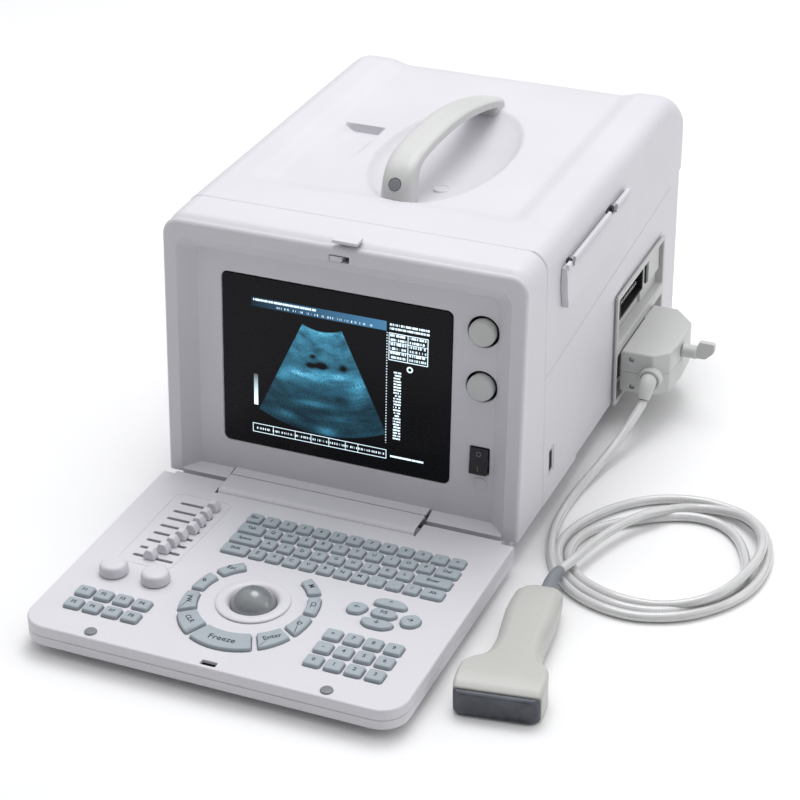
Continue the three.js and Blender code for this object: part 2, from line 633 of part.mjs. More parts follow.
function keyboardTop() {
  const level = (by, z) => shrink(keyboardOutline(0, -20.8), by).map(([x, y]) => [x, y, z]);
  let shell = loft([level(0, KB_SPLIT + 0.15), level(0, KB_TOP - 1.4), level(1.2, KB_TOP)]);
  shell = shell.subtract(prism(keyboardOutline(3, -20.8), 'z', 0, KB_TOP - 2.6));
  for (const [keys] of Object.values(keyBlocks())) {
    for (const key of keys) shell = shell.subtract(prism(key, 'z', 20, 30));
  }
  shell = shell.subtract(prism(circle(BALL.x, BALL.y, 24.3, 32), 'z', 20, 30));
  for (const y of SLIDER_Y) shell = shell.subtract(box(-122, -86, y - 1.6, y + 1.6, 20, 30));
  for (const [x, y] of GAIN) shell = shell.subtract(prism(circle(x, y, 3.4, 12), 'z', 20, 30));
  return shell.subtract(box(-3.5, 9.5, -246.5, -241, 20, 30));
}

function keyboardBottom() {
  const level = (by, z) => shrink(keyboardOutline(0, -20.8), by).map(([x, y]) => [x, y, z]);
  let shell = loft([level(1, KB_BOTTOM), level(0, KB_BOTTOM + 1.2), level(0, KB_SPLIT - 0.15)]);
  shell = shell.subtract(prism(keyboardOutline(3, -20.8), 'z', KB_BOTTOM + 2.6, 30));
  const barrel = [
    [-26, KB_BOTTOM], [AXIS_Y, 9.1], [AXIS_Y, 24.9], [-17, 23.2], [-19.7, 20], [-20.2, 17.2], [-26, 17.2],
  ];
  shell = shell.add(prism(barrel, 'x', -101.3, 78.3)).add(rodX(-101.3, 78.3, AXIS_Y, AXIS_Z, 8, 20));
  shell = shell.subtract(rodX(-110, 90, AXIS_Y, AXIS_Z, 2.8, 12));
  return shell.subtract(prism(circle(BALL.x, BALL.y, 21.3, 28), 'z', 0, 20));
}

function hingeCover() {
  const outline = [
    [-24, KB_TOP + GAP], [-22.4, 29.3], [-19, 30.5], [1.2, 30.5], [2.2, 29.4], [3.3, 27], [3.3, 20],
    [1.3, 20], [1.3, 26.6], [0.2, 28.3], [-18, 28.5], [-20.4, KB_TOP + GAP],
  ];
  return prism(outline, 'x', -101, 78);
}

function keyboardBoard() {
  let board = box(-152, 152, -238, -30, 18.4, 20);
  board = board.subtract(prism(circle(BALL.x, BALL.y, 22.5, 28), 'z', 10, 30));
  return board;
}

// ---------------------------------------------------------------- keyboard controls
function at(x, y, z) {
  return new THREE.Matrix4().makeTranslation(x, y, z);
}

function trackballRing() {
  const c = circle(BALL.x, BALL.y, 30, 40);
  let ring = prism(c, 'z', KB_TOP + GAP, 28.6);
  const crest = circle(BALL.x, BALL.y, 29, 40).map(([x, y]) => [x, y, 29.5]);
  ring = ring.add(loft([c.map(([x, y]) => [x, y, 28.5]), crest]));
  ring = ring.add(prism(circle(BALL.x, BALL.y, 23.9, 40), 'z', 25.6, 28));
  const mouth = [[18.3, 20], [18.3, 26.6], [20.6, 29.6], [20.6, 32]];
  const loops = mouth.map(([r, z]) => circle(BALL.x, BALL.y, r, 40).map(([x, y]) => [x, y, z]));
  return ring.subtract(loft(loops));
}

function trackballSocket() {
  const outer = [
    [0, 0.9], [9, 0.9], [15, 3.6], [20.8, 8], [20.8, 11.4], [24.5, 11.4], [24.5, 13.4], [0, 13.4],
  ];
  const inner = [[0, 1.7]];
  for (let i = 1; i <= 6; i += 1) {
    const a = THREE.MathUtils.degToRad(-90 + i * 11.2);
    inner.push([18.9 * Math.cos(a), BALL.z + 18.9 * Math.sin(a)]);
  }
  inner.push([18.4, 14.5], [0, 14.5]);
  const cup = turned(outer, 28, at(BALL.x, BALL.y, 0));
  return cup.subtract(turned(inner, 28, at(BALL.x, BALL.y, 0)));
}

function trackball() {
  const profile = arc(0, 0, BALL.r, -90, 90, 12);
  profile[0][0] = 0;
  profile[12][0] = 0;
  return turned(profile, 24, at(BALL.x, BALL.y, BALL.z));
}

function sliderKnob(x, y) {
  const cap = loft([
    rectKey(x, y, 9.4, 7.4).map((p) => [...p, KB_TOP + 0.7]),
    rectKey(x, y, 9.4, 7.4).map((p) => [...p, KB_TOP + 3.6]),
    rectKey(x, y, 4.4, 6.6).map((p) => [...p, KB_TOP + 8.2]),
  ]);
  const stem = box(x - 2, x + 2, y - 1.2, y + 1.2, 22, 29);
  return cap.add(stem).add(box(x - 5, x + 5, y - 4, y + 4, 21.4, 23.6));
}

function gainKnob(x, y) {
  const profile = [[0, 20.6], [3, 20.6], [3, 27.6], [11.8, 27.6], [11.8, 32], [11, 36], [9.6, 37], [0, 37]];
  return turned(profile, 24, at(x, y, 0));
}

function bumper(x, y) {
  return turned([[0, KB_TOP + GAP], [5, KB_TOP + GAP], [5, 28], [4.2, 28.6], [0, 28.6]], 16, at(x, y, 0));
}

// ---------------------------------------------------------------- plug, lever, cable and probe
function connectorHousing() {
  const plan = [[163, 258], [193, 258], [205.5, 270], [207.8, 300], [206, 334], [187, 355], [163, 355.5]];
  let body = prism(shrink(plan, 0).map((p) => p), 'z', 34.6, 71.6);
  const lid = (z, by) => shrink(plan, by).map((p) => [...p, z]);
  body = body.add(loft([lid(71.5, 0), lid(73.4, 1.6)])).add(loft([lid(32.6, 1.6), lid(34.7, 0)]));
  body = body.add(prism(circle(191.5, 51.3, 9, 20), 'y', 252, 259));
  body = body.subtract(prism(circle(191.5, 51.3, 6.8, 20), 'y', 248, 258));
  // spigot that reaches into the lower socket
  body = body.add(box(141, 164, 271, 342, 41.5, 62.5));
  return body.subtract(rodX(203, 215, 300, 60, 4.8, 16));
}

function lockLever() {
  let lever = rodX(203.6, 226, 300, 60, 4.4, 16);
  lever = lever.add(box(222, 236, 296.6, 303.4, 57, 66));
  const flag = [[220, 62], [222, 74], [238, 74], [237, 64], [230, 57], [222, 57]];
  return lever.add(prism(flag, 'y', 297.5, 302.5));
}

// Round section swept along a list of stations given as [x, y, z, radius].
function sleeve(stations, n) {
  const centres = stations.map(([x, y, z]) => new THREE.Vector3(x, y, z));
  const loops = stations.map(([, , , r], i) => {
    const a = centres[Math.max(0, i - 1)];
    const b = centres[Math.min(stations.length - 1, i + 1)];
    const t = b.clone().sub(a).normalize();
    const side = new THREE.Vector3(0, 0, 1).cross(t).normalize();
    const up = t.clone().cross(side);
    return circle(0, 0, r, n).map(([u, v]) => {
      const p = centres[i].clone().addScaledVector(side, u).addScaledVector(up, v);
      return [p.x, p.y, p.z];
    });
  });
  return loft(loops);
}

function connectorRelief() {
  return sleeve([
    [191.5, 257, 51.3, 6.2], [191.5, 250.5, 51.2, 6.2], [191.5, 245, 48.6, 6.8],
    [191.5, 240.5, 43.3, 6.2], [191.4, 237.3, 39.2, 5.4],
  ], 16);
}

function cable() {
  const points = CABLE.map((p) => new THREE.Vector3(...p));
  const path = new THREE.CatmullRomCurve3(points, false, 'centripetal');
  const shape = new THREE.Shape(circle(0, 0, CABLE_R, 8).map(([a, b]) => new THREE.Vector2(a, b)));
  return new THREE.ExtrudeGeometry(shape, { steps: 78, bevelEnabled: false, extrudePath: path });
}

function probeRelief() {
  return sleeve([
    [200.55, -11, 14.4, 5.2], [199.4, -18, 14.8, 5.6], [199.5, -28, 15.6, 6.8],
    [201, -38, 16.8, 8.2], [202, -47, 17.8, 9.6],
  ], 16);
}

// Stations along the probe: centre x, y, half width, bottom z, top z.
const PROBE = [
  [202.6, -47.5, 12.5, 6, 30], [202.4, -51.5, 14.5, 4.5, 31], [201.5, -66, 19, 3, 31.4], [203.5, -88, 20.5, 2, 30],
  [206.5, -112, 19.4, 1.4, 28.8], [209.3, -131, 19.2, 1, 28.2], [210.7, -147.7, 22.6, 0.6, 27.9],
  [210.5, -156.5, 29.6, 0.5, 27.8], [210.8, -165, 33.6, 0.5, 27.7], [212, -173, 34.6, 0.5, 27.6],
  [213.6, -186, 34.4, 0.5, 27.2], [214.6, -190.8, 33.9, 0.9, 23],
];

function probeLoop([x, y, w, z0, z1], lead) {
  const r = Math.min(9, w * 0.7, Math.max(3, 28 - w * 0.75));
  const skew = y < -125 ? 0.15 : 0.09;
  return roundRect(-w, w, z0, z1, r, 3).map(([u, z]) => {
    const bulge = lead ? lead * (1 - (u / w) ** 2) : 0;
    return [x + u * Math.cos(0.17), y + u * skew - bulge, z];
  });
}

function probeBody() {
  const leads = [2.5, 9.5];
  let body = loft(PROBE.map((p, i) => probeLoop(p, leads[i - PROBE.length + 2] ?? 0)));
  body = body.subtract(sleeve([[201.6, -43, 17.6, 10.3], [202.4, -50.4, 18.2, 10.3]], 16));
  return body;
}

function probeLens() {
  const lens = (y, w, z0, z1, lead) => probeLoop([214.6, y, w, z0, z1], lead);
  return loft([
    lens(-191.8, 33, 1.4, 22.4, 9.5),
    lens(-193.4, 32.8, 1.6, 22.2, 9.7),
    lens(-194.2, 32, 2.4, 21.4, 9.8),
  ]);
}

// ---------------------------------------------------------------- assembly
function build() {
  add('front_bezel', 'bezel', frontBezel());
  add('main_cover', 'shell', mainCover());
  add('rear_panel', 'light_grey', rearPanel());
  add('base_pan', 'shell', basePan());
  FEET.forEach(([x, y], i) => add(`foot_${i + 1}`, 'rubber', prism(circle(x, y, 13, 20), 'z', 0, 11.7)));
  add('carry_handle', 'light_grey', carryHandle());
  add('handle_cap', 'mid_grey', turned([[0, -3.7], [5.4, -3.7], [5.4, 0.6], [0, 0.6]], 16, capFrame()));
  add('probe_holder_rail', 'light_grey', holderRail());
  add('socket_bay', 'light_grey', socketBay());
  add('probe_socket_upper', 'dark', socket(266.3, 333.7, 98.8, 126.2, 14));
  add('probe_socket_lower', 'dark', socket(266.3, 346.7, 38.3, 65.7, 14));
  add('display_glass', 'glass', displayGlass());
  add('display_module', 'dark', displayModule());
  add('usb_port', 'metal', usbPort());
  add('main_board', 'board', mainBoard());
  add('power_supply', 'metal', powerSupply());
  add('fan_housing', 'dark', fanHousing());
  add('mains_inlet', 'dark', mainsInlet());
  add('hinge_pin', 'metal', rodX(-145.6, 145.6, AXIS_Y, AXIS_Z, 2.5, 12));
  add('latch_button', 'shell', latchButton());
  add('fan_rotor', 'dark', fanRotor());
  add('power_rocker', 'dark', rocker());
  for (const [name, x, h] of KNOBS) add(name, 'shell', faceKnob(x, h));
  add('keyboard_top_shell', 'shell', keyboardTop());
  add('keyboard_bottom_shell', 'shell', keyboardBottom());
  add('hinge_cover', 'bezel', hingeCover());
  add('keyboard_board', 'board', keyboardBoard());
  add('trackball_ring', 'shell', trackballRing());
  add('trackball_socket', 'dark', trackballSocket());
  add('trackball', 'mid_grey', trackball());
  BUMPERS.forEach(([x, y], i) => add(`bumper_${i + 1}`, 'mid_grey', bumper(x, y)));
  SLIDER_Y.forEach((y, i) => add(`slider_${i + 1}`, 'shell', sliderKnob(SLIDER_X[i], y)));
  GAIN.forEach(([x, y], i) => add(`gain_knob_${i + 1}`, 'shell', gainKnob(x, y)));
  for (const [name, [keys, base]] of Object.entries(keyBlocks())) add(name, 'key', keyMat(keys, base));
  add('connector_housing', 'light_grey', connectorHousing());
  add('lock_lever', 'light_grey', lockLever());
  add('connector_relief', 'light_grey', connectorRelief());
  add('probe_cable', 'cable', cable());
  add('probe_relief', 'mid_grey', probeRelief());
  add('probe_body', 'light_grey', probeBody());
  add('probe_lens', 'lens', probeLens());
}

build();
export default group;
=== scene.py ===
"""Looks of a portable ultrasound scanner with a fold-down keyboard and a convex probe.

Shapes are written in millimetres in the working frame of the part: x = 0 at the middle of
the body, y = 0 at the foot of the front rim, z = 0 on the table. TO_ROW takes a finished
mesh to the row frame, in metres.
"""
import json
from math import cos, degrees, pi, radians, sin, sqrt

import bmesh
import bpy
from mathutils import Matrix, Vector


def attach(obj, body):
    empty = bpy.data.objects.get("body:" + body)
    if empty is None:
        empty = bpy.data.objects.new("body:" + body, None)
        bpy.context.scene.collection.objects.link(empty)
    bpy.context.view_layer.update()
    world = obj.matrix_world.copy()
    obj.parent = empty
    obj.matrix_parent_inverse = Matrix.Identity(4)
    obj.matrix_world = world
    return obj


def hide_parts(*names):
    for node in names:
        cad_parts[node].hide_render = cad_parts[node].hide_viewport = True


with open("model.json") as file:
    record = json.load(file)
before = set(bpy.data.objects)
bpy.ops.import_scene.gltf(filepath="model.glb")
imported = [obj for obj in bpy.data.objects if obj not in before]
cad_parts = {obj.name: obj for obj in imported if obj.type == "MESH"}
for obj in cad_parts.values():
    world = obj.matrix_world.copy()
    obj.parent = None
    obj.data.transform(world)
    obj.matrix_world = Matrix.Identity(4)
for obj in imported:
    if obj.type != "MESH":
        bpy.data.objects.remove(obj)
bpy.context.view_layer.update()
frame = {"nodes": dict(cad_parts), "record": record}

shift = Matrix.Translation
TO_ROW = Matrix.Scale(0.001, 4) @ shift((-43.53, -98.0, 0.0))

# ------------------------------------------------------------------ driving sizes, mm
HALF_W, BODY_Z, TOP_Z, SEAM_Y = 160.0, 23.0, 259.0, 60.0
BACK_Y, BACK_Y2 = 436.0, 446.0
BACK_ROUND, TOP_WALL = 50, 4.6
TOP_STEP, TOP_CELLS = 2.2, 132
TILT = radians(4.14)
LEAN = shift((0, 0, BODY_Z)) @ Matrix.Rotation(-TILT, 4, "X")
FACE_FRONT, FACE_SIDE = Matrix.Rotation(pi / 2, 4, "X"), Matrix.Rotation(pi / 2, 4, "Y")
AXIS_Y, AXIS_Z = -12.2, 17.0
KB_HALF, KB_FRONT, KB_TOP, KB_BOTTOM, KB_SPLIT, KB_NOTCH = 160.5, -250.0, 27.0, 8.5, 17.4, -24.3
KB_MID_BACK = -20.8
LABEL_Z = 30.02
KNUCKLES = [(-146, -103), (80, 146)]
BARREL_R, PIN_R, SWEEP_R = 8.3, 2.8, 12.2
KNOB_HOLE_R = 13.6
BALL = (-1.3, -158.9, 20.6)
BALL_R = 18.6
KNOBS = [("brightness", 119.9, 177.0), ("contrast", 119.8, 129.0)]
SLIDER_Y = [-133.4, -121.5, -110.2, -98.7, -86.9, -75.2, -63.7, -50.8]
SLIDER_X = [-105.7, -100, -98, -96, -92, -92, -91.5, -91]
GAIN = [(-123.1, -162.6), (-86.1, -161.5)]
BUMPERS = [(-99.5, -241.5), (99.5, -241.5)]
BAY = dict(y0=247, y1=388, z0=21, z1=131)
CABLE_R = 4.0
EXIT_X, EXIT_Z = 191.5, 51.3
LEVER_Y, LEVER_Z = 300, 60

# ------------------------------------------------------------------ camera
CAM_AZ, CAM_EL, CAM_ROLL = radians(23.30), radians(29.62), radians(-0.84)
CAM_AT = Vector((0.63322, -1.53534, 1.02667))
CAM_LENS = 100.6


def placed(name, data):
    """A new object of the scene."""
    obj = bpy.data.objects.new(name, data)
    bpy.context.scene.collection.objects.link(obj)
    return obj


def make_camera():
    back = Vector((sin(CAM_AZ) * cos(CAM_EL), -cos(CAM_AZ) * cos(CAM_EL), sin(CAM_EL)))
    right = Vector((cos(CAM_AZ), sin(CAM_AZ), 0.0))
    up = back.cross(right)
    side = right * cos(CAM_ROLL) + up * sin(CAM_ROLL)
    top = up * cos(CAM_ROLL) - right * sin(CAM_ROLL)
    data = bpy.data.cameras.new("camera")
    data.lens = CAM_LENS
    data.sensor_width = 36.0
    camera = placed("camera", data)
    camera.matrix_world = Matrix((side, top, back)).transposed().to_4x4()
    camera.location = CAM_AT
    bpy.context.scene.camera = camera


make_camera()


# ------------------------------------------------------------------ node materials
class Nodes:
    """Short ways to write a node tree."""

    def __init__(self, name):
        self.mat = bpy.data.materials.new(name)
        self.mat.use_nodes = True
        self.tree = self.mat.node_tree
        self.shader = self.tree.nodes["Principled BSDF"]
        self.place = self.new("ShaderNodeTexCoord").outputs["Object"]

    def new(self, kind, **inputs):
        node = self.tree.nodes.new(kind)
        for key, value in inputs.items():
            self.set(node.inputs[key.replace("_", " ")], value)
        return node

    def set(self, socket, value):
        if isinstance(value, bpy.types.NodeSocket):
            self.tree.links.new(value, socket)
        else:
            socket.default_value = value

    def noise(self, scale, detail=2.0, rough=0.5, at=None):
        node = self.new("ShaderNodeTexNoise", Scale=scale, Detail=detail, Roughness=rough)
        self.set(node.inputs["Vector"], at or self.place)
        return node.outputs["Fac"]

    def math(self, what, a, b=0.0, c=None, clamp=False):
        node = self.tree.nodes.new("ShaderNodeMath")
        node.operation = what
        node.use_clamp = clamp
        self.set(node.inputs[0], a)
        self.set(node.inputs[1], b)
        if c is not None:
            self.set(node.inputs[2], c)
        return node.outputs[0]

    def mul(self, a, b):
        return self.math("MULTIPLY", a, b)

    def add(self, a, b):
        return self.math("ADD", a, b)

    def sub(self, a, b):
        return self.math("SUBTRACT", a, b)

    def div(self, a, b):
        return self.math("DIVIDE", a, b)

    def mix(self, fac, a, b):
        node = self.tree.nodes.new("ShaderNodeMix")
        node.data_type = "RGBA"
        self.set(node.inputs[0], fac)
        self.set(node.inputs[6], a)
        self.set(node.inputs[7], b)
        return node.outputs[2]

    def ramp(self, fac, low, high):
        node = self.new("ShaderNodeMapRange", From_Min=low, From_Max=high)
        self.set(node.inputs["Value"], fac)
        return node.outputs[0]

    def band(self, value, low, high, soft=0.2):
        """1 where value lies between low and high."""
        rise = self.ramp(value, low - soft, low + soft)
        fall = self.ramp(value, high + soft, high - soft)
        return self.mul(rise, fall)

    def bump(self, height, strength, distance):
        node = self.new("ShaderNodeBump", Strength=strength, Distance=distance, Height=height)
        self.set(self.shader.inputs["Normal"], node.outputs[0])

    def finish(self, **inputs):
        for key, value in inputs.items():
            self.set(self.shader.inputs[key.replace("_", " ")], value)
        return self.mat


def shade(colour, k):
    return (*[min(1.0, c * k) for c in colour], 1.0)


def moulded(name, colour, rough, tint=0.035, grain=0.12, scale=1500.0, coat=0.0):
    """Moulded plastic: cloudy tint, handled patches in the roughness and a fine spark-eroded grain."""
    n = Nodes(name)
    cloud = n.noise(13.0, 3.0)
    fine = n.noise(260.0, 2.0)
    tone = n.add(n.mul(cloud, 0.75), n.mul(fine, 0.25))
    base = n.mix(n.ramp(tone, 0.32, 0.68), shade(colour, 1 - tint), shade(colour, 1 + tint))
    gloss = n.math("MULTIPLY_ADD", n.noise(38.0, 2.0), 0.14, rough - 0.07)
    n.bump(n.noise(scale, 3.0, 0.6), grain, 0.00006)
    return n.finish(Base_Color=base, Roughness=gloss, Coat_Weight=coat, Coat_Roughness=0.25)


def brushed(name, colour, rough):
    n = Nodes(name)
    stretch = n.new("ShaderNodeMapping", Vector=n.place, Scale=(1.0, 40.0, 40.0)).outputs[0]
    streak = n.noise(160.0, 4.0, 0.7, stretch)
    base = n.mix(streak, shade(colour, 0.85), shade(colour, 1.1))
    n.bump(streak, 0.1, 0.00005)
    gloss = n.math("MULTIPLY_ADD", streak, 0.2, rough - 0.1)
    return n.finish(Base_Color=base, Roughness=gloss, Metallic=0.9)


def circuit_board():
    n = Nodes("board_green")
    cells = n.new("ShaderNodeTexBrick", Scale=120.0, Vector=n.place)
    cells.inputs["Color1"].default_value = (0.02, 0.16, 0.07, 1)
    cells.inputs["Color2"].default_value = (0.03, 0.22, 0.10, 1)
    cells.inputs["Mortar"].default_value = (0.30, 0.36, 0.18, 1)
    n.bump(n.noise(900.0), 0.2, 0.0001)
    return n.finish(Base_Color=cells.outputs["Color"], Roughness=0.5)


def lens_rubber():
    """Acoustic window: dense slate rubber, faintly mottled."""
    n = Nodes("lens_slate")
    mottled = n.noise(90.0, 4.0)
    base = n.mix(n.ramp(mottled, 0.3, 0.7), (0.055, 0.062, 0.078, 1), (0.095, 0.104, 0.125, 1))
    n.bump(n.noise(2200.0, 2.0), 0.1, 0.00004)
    return n.finish(Base_Color=base, Roughness=n.math("MULTIPLY_ADD", mottled, 0.15, 0.36))


def braided_cable():
    """Clear jacket over a silvery braid: two crossing sets of strands along the tube's own UVs, and lengthwise
    painted highlight streaks in the base colour.
    """
    n = Nodes("cable_clear_jacket")
    uv = n.new("ShaderNodeSeparateXYZ", Vector=n.new("ShaderNodeUVMap").outputs[0])
    along, around = n.mul(uv.outputs["X"], 760.0), n.mul(uv.outputs["Y"], 12.0)
    one = n.math("SINE", n.mul(n.add(along, around), 2 * pi))
    two = n.math("SINE", n.mul(n.sub(along, around), 2 * pi))
    weave = n.ramp(n.mul(one, two), -0.8, 0.8)
    # painted highlight: noise stretched along the cable lays light and dark streaks into the base colour for the
    # sheen of the clear jacket
    painted_sheen_streaks = n.new("ShaderNodeCombineXYZ", X=n.mul(along, 0.05), Y=n.mul(around, 1.6)).outputs[0]
    tone = n.add(n.mul(weave, 0.3), n.mul(n.noise(1.0, 3.0, 0.6, painted_sheen_streaks), 0.7))
    base = n.mix(n.ramp(tone, 0.25, 0.75), (0.42, 0.42, 0.42, 1), (0.80, 0.80, 0.80, 1))
    n.bump(weave, 0.08, 0.0001)
    return n.finish(Base_Color=base, Roughness=n.ramp(weave, -1.5, 3.5),
        Coat_Weight=1.0, Coat_Roughness=0.06, Specular_IOR_Level=0.6)


def screen_image():
    """Black glass with a lit scan: title bar, fan of speckle, grey scale, rows of small marks.

    u runs across and v up the leaning face, both in millimetres.
    """
    n = Nodes("screen_lit")
    axes = n.new("ShaderNodeSeparateXYZ", Vector=n.place)
    u = n.math("MULTIPLY_ADD", axes.outputs["X"], 1000.0, 43.53)
    y = n.math("MULTIPLY_ADD", axes.outputs["Y"], 1000.0, 98.0)
    z = n.math("MULTIPLY_ADD", axes.outputs["Z"], 1000.0, -BODY_Z)
    v = n.add(n.mul(y, sin(TILT)), n.mul(z, cos(TILT)))

    def block(u0, u1, v0, v1, soft=0.15):
        return n.mul(n.band(u, u0, u1, soft), n.band(v, v0, v1, soft))

    def total(*parts):
        value = parts[0]
        for part in parts[1:]:
            value = n.math("ADD", value, part, clamp=True)
        return value

    def marks(u0, u1, v0, v1, pitch, keep, seed):
        """Rows of small bright dashes, like lines of tiny type."""
        rows = n.math("FRACT", n.div(n.sub(v, v0), pitch))
        line = n.band(rows, 0.2, 0.72, 0.08)
        row_id = n.math("FLOOR", n.div(n.sub(v, v0), pitch))
        cell = n.new("ShaderNodeCombineXYZ", X=n.mul(u, 0.95), Y=n.mul(row_id, 7.3), Z=seed)
        broken = n.ramp(n.noise(1.0, 1.0, 0.5, cell.outputs[0]), keep, keep + 0.05)
        inside = block(u0, u1, v0, v1, 0.1)
        return n.mul(n.mul(line, broken), inside)

    # fan of the scan, in polar form about its apex
    apex_u, apex_v = -20.9, 192.0
    du = n.sub(u, apex_u)
    dv = n.sub(apex_v, v)
    reach = n.math("SQRT", n.add(n.mul(du, du), n.mul(dv, dv)))
    angle = n.math("ARCTAN2", du, dv)
    fan = n.mul(n.band(reach, 41.5, 135.5, 0.5), n.band(angle, -0.44, 0.445, 0.004))
    polar = n.new("ShaderNodeCombineXYZ", X=n.mul(angle, 26.0), Y=n.mul(reach, 0.9)).outputs[0]
    speckle = n.noise(2.4, 5.0, 0.75, polar)
    tissue = n.noise(0.16, 3.0, 0.5, polar)
    near = n.ramp(reach, 112.0, 55.0)
    glow = n.add(n.mul(near, 0.34), 0.10)

    def lobe(mu, mv, su, sv, gain):
        a = n.div(n.sub(u, mu), su)
        b = n.div(n.sub(v, mv), sv)
        d = n.add(n.mul(a, a), n.mul(b, b))
        return n.mul(n.math("EXPONENT", n.mul(d, -1.0)), gain)

    for mu, mv, su, sv, gain in [(-38, 109, 17, 4.5, 0.62), (-12, 112, 18, 4.2, 0.60), (12, 104, 8, 11, 0.55),
        (-21, 151, 20, 4, 0.50), (-21, 119.5, 5.5, 3.2, -0.70), (-31, 118.5, 4.5, 2.4, -0.55),
        (-29, 127, 3.4, 2.0, -0.45), (-1.6, 121, 4.0, 3.4, -0.45), (-16, 60, 8, 3.5, 0.42), (-52, 70, 9, 3, 0.16),
        (-30, 84, 16, 3, 0.20), (-58, 104, 7, 5, 0.22), (-4, 92, 9, 5, -0.10), (2, 74, 12, 2.6, 0.16)]:
        glow = n.add(glow, lobe(mu, mv, su, sv, gain))
    grainy = n.ramp(speckle, 0.32, 0.68)
    level = n.mul(n.mul(glow, grainy), n.ramp(tissue, 0.1, 0.62))
    scan = n.math("MULTIPLY", level, fan, clamp=True)

    bar = block(-84.8, 36.6, 162.6, 171.0)
    bar_light = n.mul(bar, n.ramp(u, -95.0, 60.0))
    name_line, date_line = marks(-83, -26, 167.2, 170.6, 3.4, 0.42, 1.0), marks(-62, 24, 163.2, 166.4, 3.2, 0.55,
        5.0)
    title = n.math("MAXIMUM", name_line, date_line)
    grey = n.mul(block(-83.3, -79.6, 72.6, 101.0), n.ramp(v, 103.0, 76.0))
    frame_lines = total(block(38.9, 73.1, 161.0, 161.6), block(38.9, 73.1, 137.2, 137.8),
        block(55.2, 55.8, 137.4, 161.4), block(72.6, 73.2, 137.4, 161.4), block(38.7, 39.2, 137.4, 161.4),
        block(38.9, 73.1, 145.2, 145.7), block(38.9, 73.1, 153.1, 153.6))
    footer = total(block(-84.8, 37.8, 54.6, 55.1), block(-84.8, 37.8, 46.8, 47.3),
        block(-84.9, -84.4, 47.0, 55.0), block(37.4, 37.9, 47.0, 55.0), block(-66.0, -65.6, 47.0, 55.0),
        block(-45.6, -45.2, 47.0, 55.0), block(-31.0, -30.6, 47.0, 55.0), block(-14.6, -14.2, 47.0, 55.0),
        block(0.6, 1.0, 47.0, 55.0), block(12.0, 12.4, 47.0, 55.0))
    ruler = n.mul(block(36.7, 37.6, 61.4, 161.5), n.band(n.math("FRACT", n.div(v, 2.5)), 0.3, 0.7, 0.1))
    text = total(marks(39.5, 74.0, 163.8, 170.6, 3.4, 0.44, 2.0),
        marks(40.0, 54.0, 138.4, 161.0, 3.85, 0.45, 3.0), marks(57.0, 71.5, 138.4, 161.0, 3.85, 0.47, 4.0),
        marks(43.5, 50.0, 65.8, 128.0, 2.6, 0.40, 6.0), marks(41.4, 71.0, 48.6, 51.6, 3.0, 0.36, 7.0),
        marks(-82.0, 36.0, 49.2, 52.6, 3.4, 0.5, 8.0))
    dial = n.math("SQRT", n.add(n.math("POWER", n.sub(u, 57.5), 2.0), n.math("POWER", n.sub(v, 131.6), 2.0)))
    ring = n.band(dial, 1.6, 2.7, 0.2)
    white = total(title, frame_lines, footer, n.mul(ruler, 0.8), text, ring, grey)

    lit = n.mix(n.ramp(scan, 0.0, 0.55), (0.0, 0.0, 0.0, 1), (0.075, 0.36, 0.56, 1))
    lit = n.mix(n.ramp(scan, 0.42, 0.95), lit, (0.55, 0.90, 1.0, 1))
    lit = n.mix(n.mul(bar_light, 0.85), lit, (0.06, 0.19, 0.34, 1))
    lit = n.mix(white, lit, (0.72, 0.90, 1.0, 1))
    dust = n.noise(420.0, 2.0)
    n.bump(n.noise(30.0), 0.02, 0.0001)
    return n.finish(Base_Color=n.mix(dust, (0.002, 0.002, 0.003, 1), (0.006, 0.006, 0.009, 1)),
        Emission_Color=lit, Emission_Strength=1.7, Roughness=n.math("MULTIPLY_ADD", dust, 0.1, 0.16),
        Specular_IOR_Level=0.15)


def floor_paper():
    n = Nodes("floor_paper")
    cloud = n.noise(2.5, 2.0)
    base = n.mix(cloud, (0.86, 0.86, 0.86, 1), (0.90, 0.90, 0.90, 1))
    return n.finish(Base_Color=base, Roughness=0.75, Specular_IOR_Level=0.15)


WHITE = (0.66, 0.648, 0.688)
GREY = (0.575, 0.58, 0.57)
KEY = (0.36, 0.405, 0.44)
M = {
    "shell": moulded("shell_white", WHITE, 0.42, 0.02, 0.10),
    "bezel": moulded("bezel_white", WHITE, 0.46, 0.02, 0.16),
    "key": moulded("key_silicone", KEY, 0.55, 0.05, 0.2, 1100.0),
    "print": moulded("print_ink", (0.025, 0.036, 0.055), 0.6, 0.1, 0.05),
    "light_grey": moulded("grey_light", GREY, 0.45, 0.03, 0.12),
    "probe_grey": moulded("probe_shell", (0.50, 0.50, 0.475), 0.38, 0.03, 0.06),
    "mid_grey": moulded("grey_mid", (0.20, 0.215, 0.225), 0.4, 0.06, 0.1),
    "ball": moulded("ball_speckled", (0.2, 0.215, 0.225), 0.16, 0.25, 0.02, 900.0, 0.7),
    "relief": moulded("relief_slate", (0.22, 0.235, 0.26), 0.5, 0.08, 0.15),
    "dark": moulded("dark_plastic", (0.012, 0.012, 0.013), 0.45, 0.2, 0.12),
    "rubber": moulded("foot_rubber", (0.022, 0.022, 0.023), 0.8, 0.15, 0.3),
    "metal": brushed("plated_steel", (0.55, 0.55, 0.56), 0.32),
    "board": circuit_board(),
    "lens": lens_rubber(),
    "cable": braided_cable(),
    "glass": screen_image(),
}


# ------------------------------------------------------------------ outlines
def arc(cx, cy, r, a0, a1, n):
    steps = [radians(a0 + (a1 - a0) * i / n) for i in range(n + 1)]
    return [(cx + r * cos(a), cy + r * sin(a)) for a in steps]


def circle(cx, cy, r, n=48):
    return arc(cx, cy, r, 0, 360 - 360 / n, n - 1)


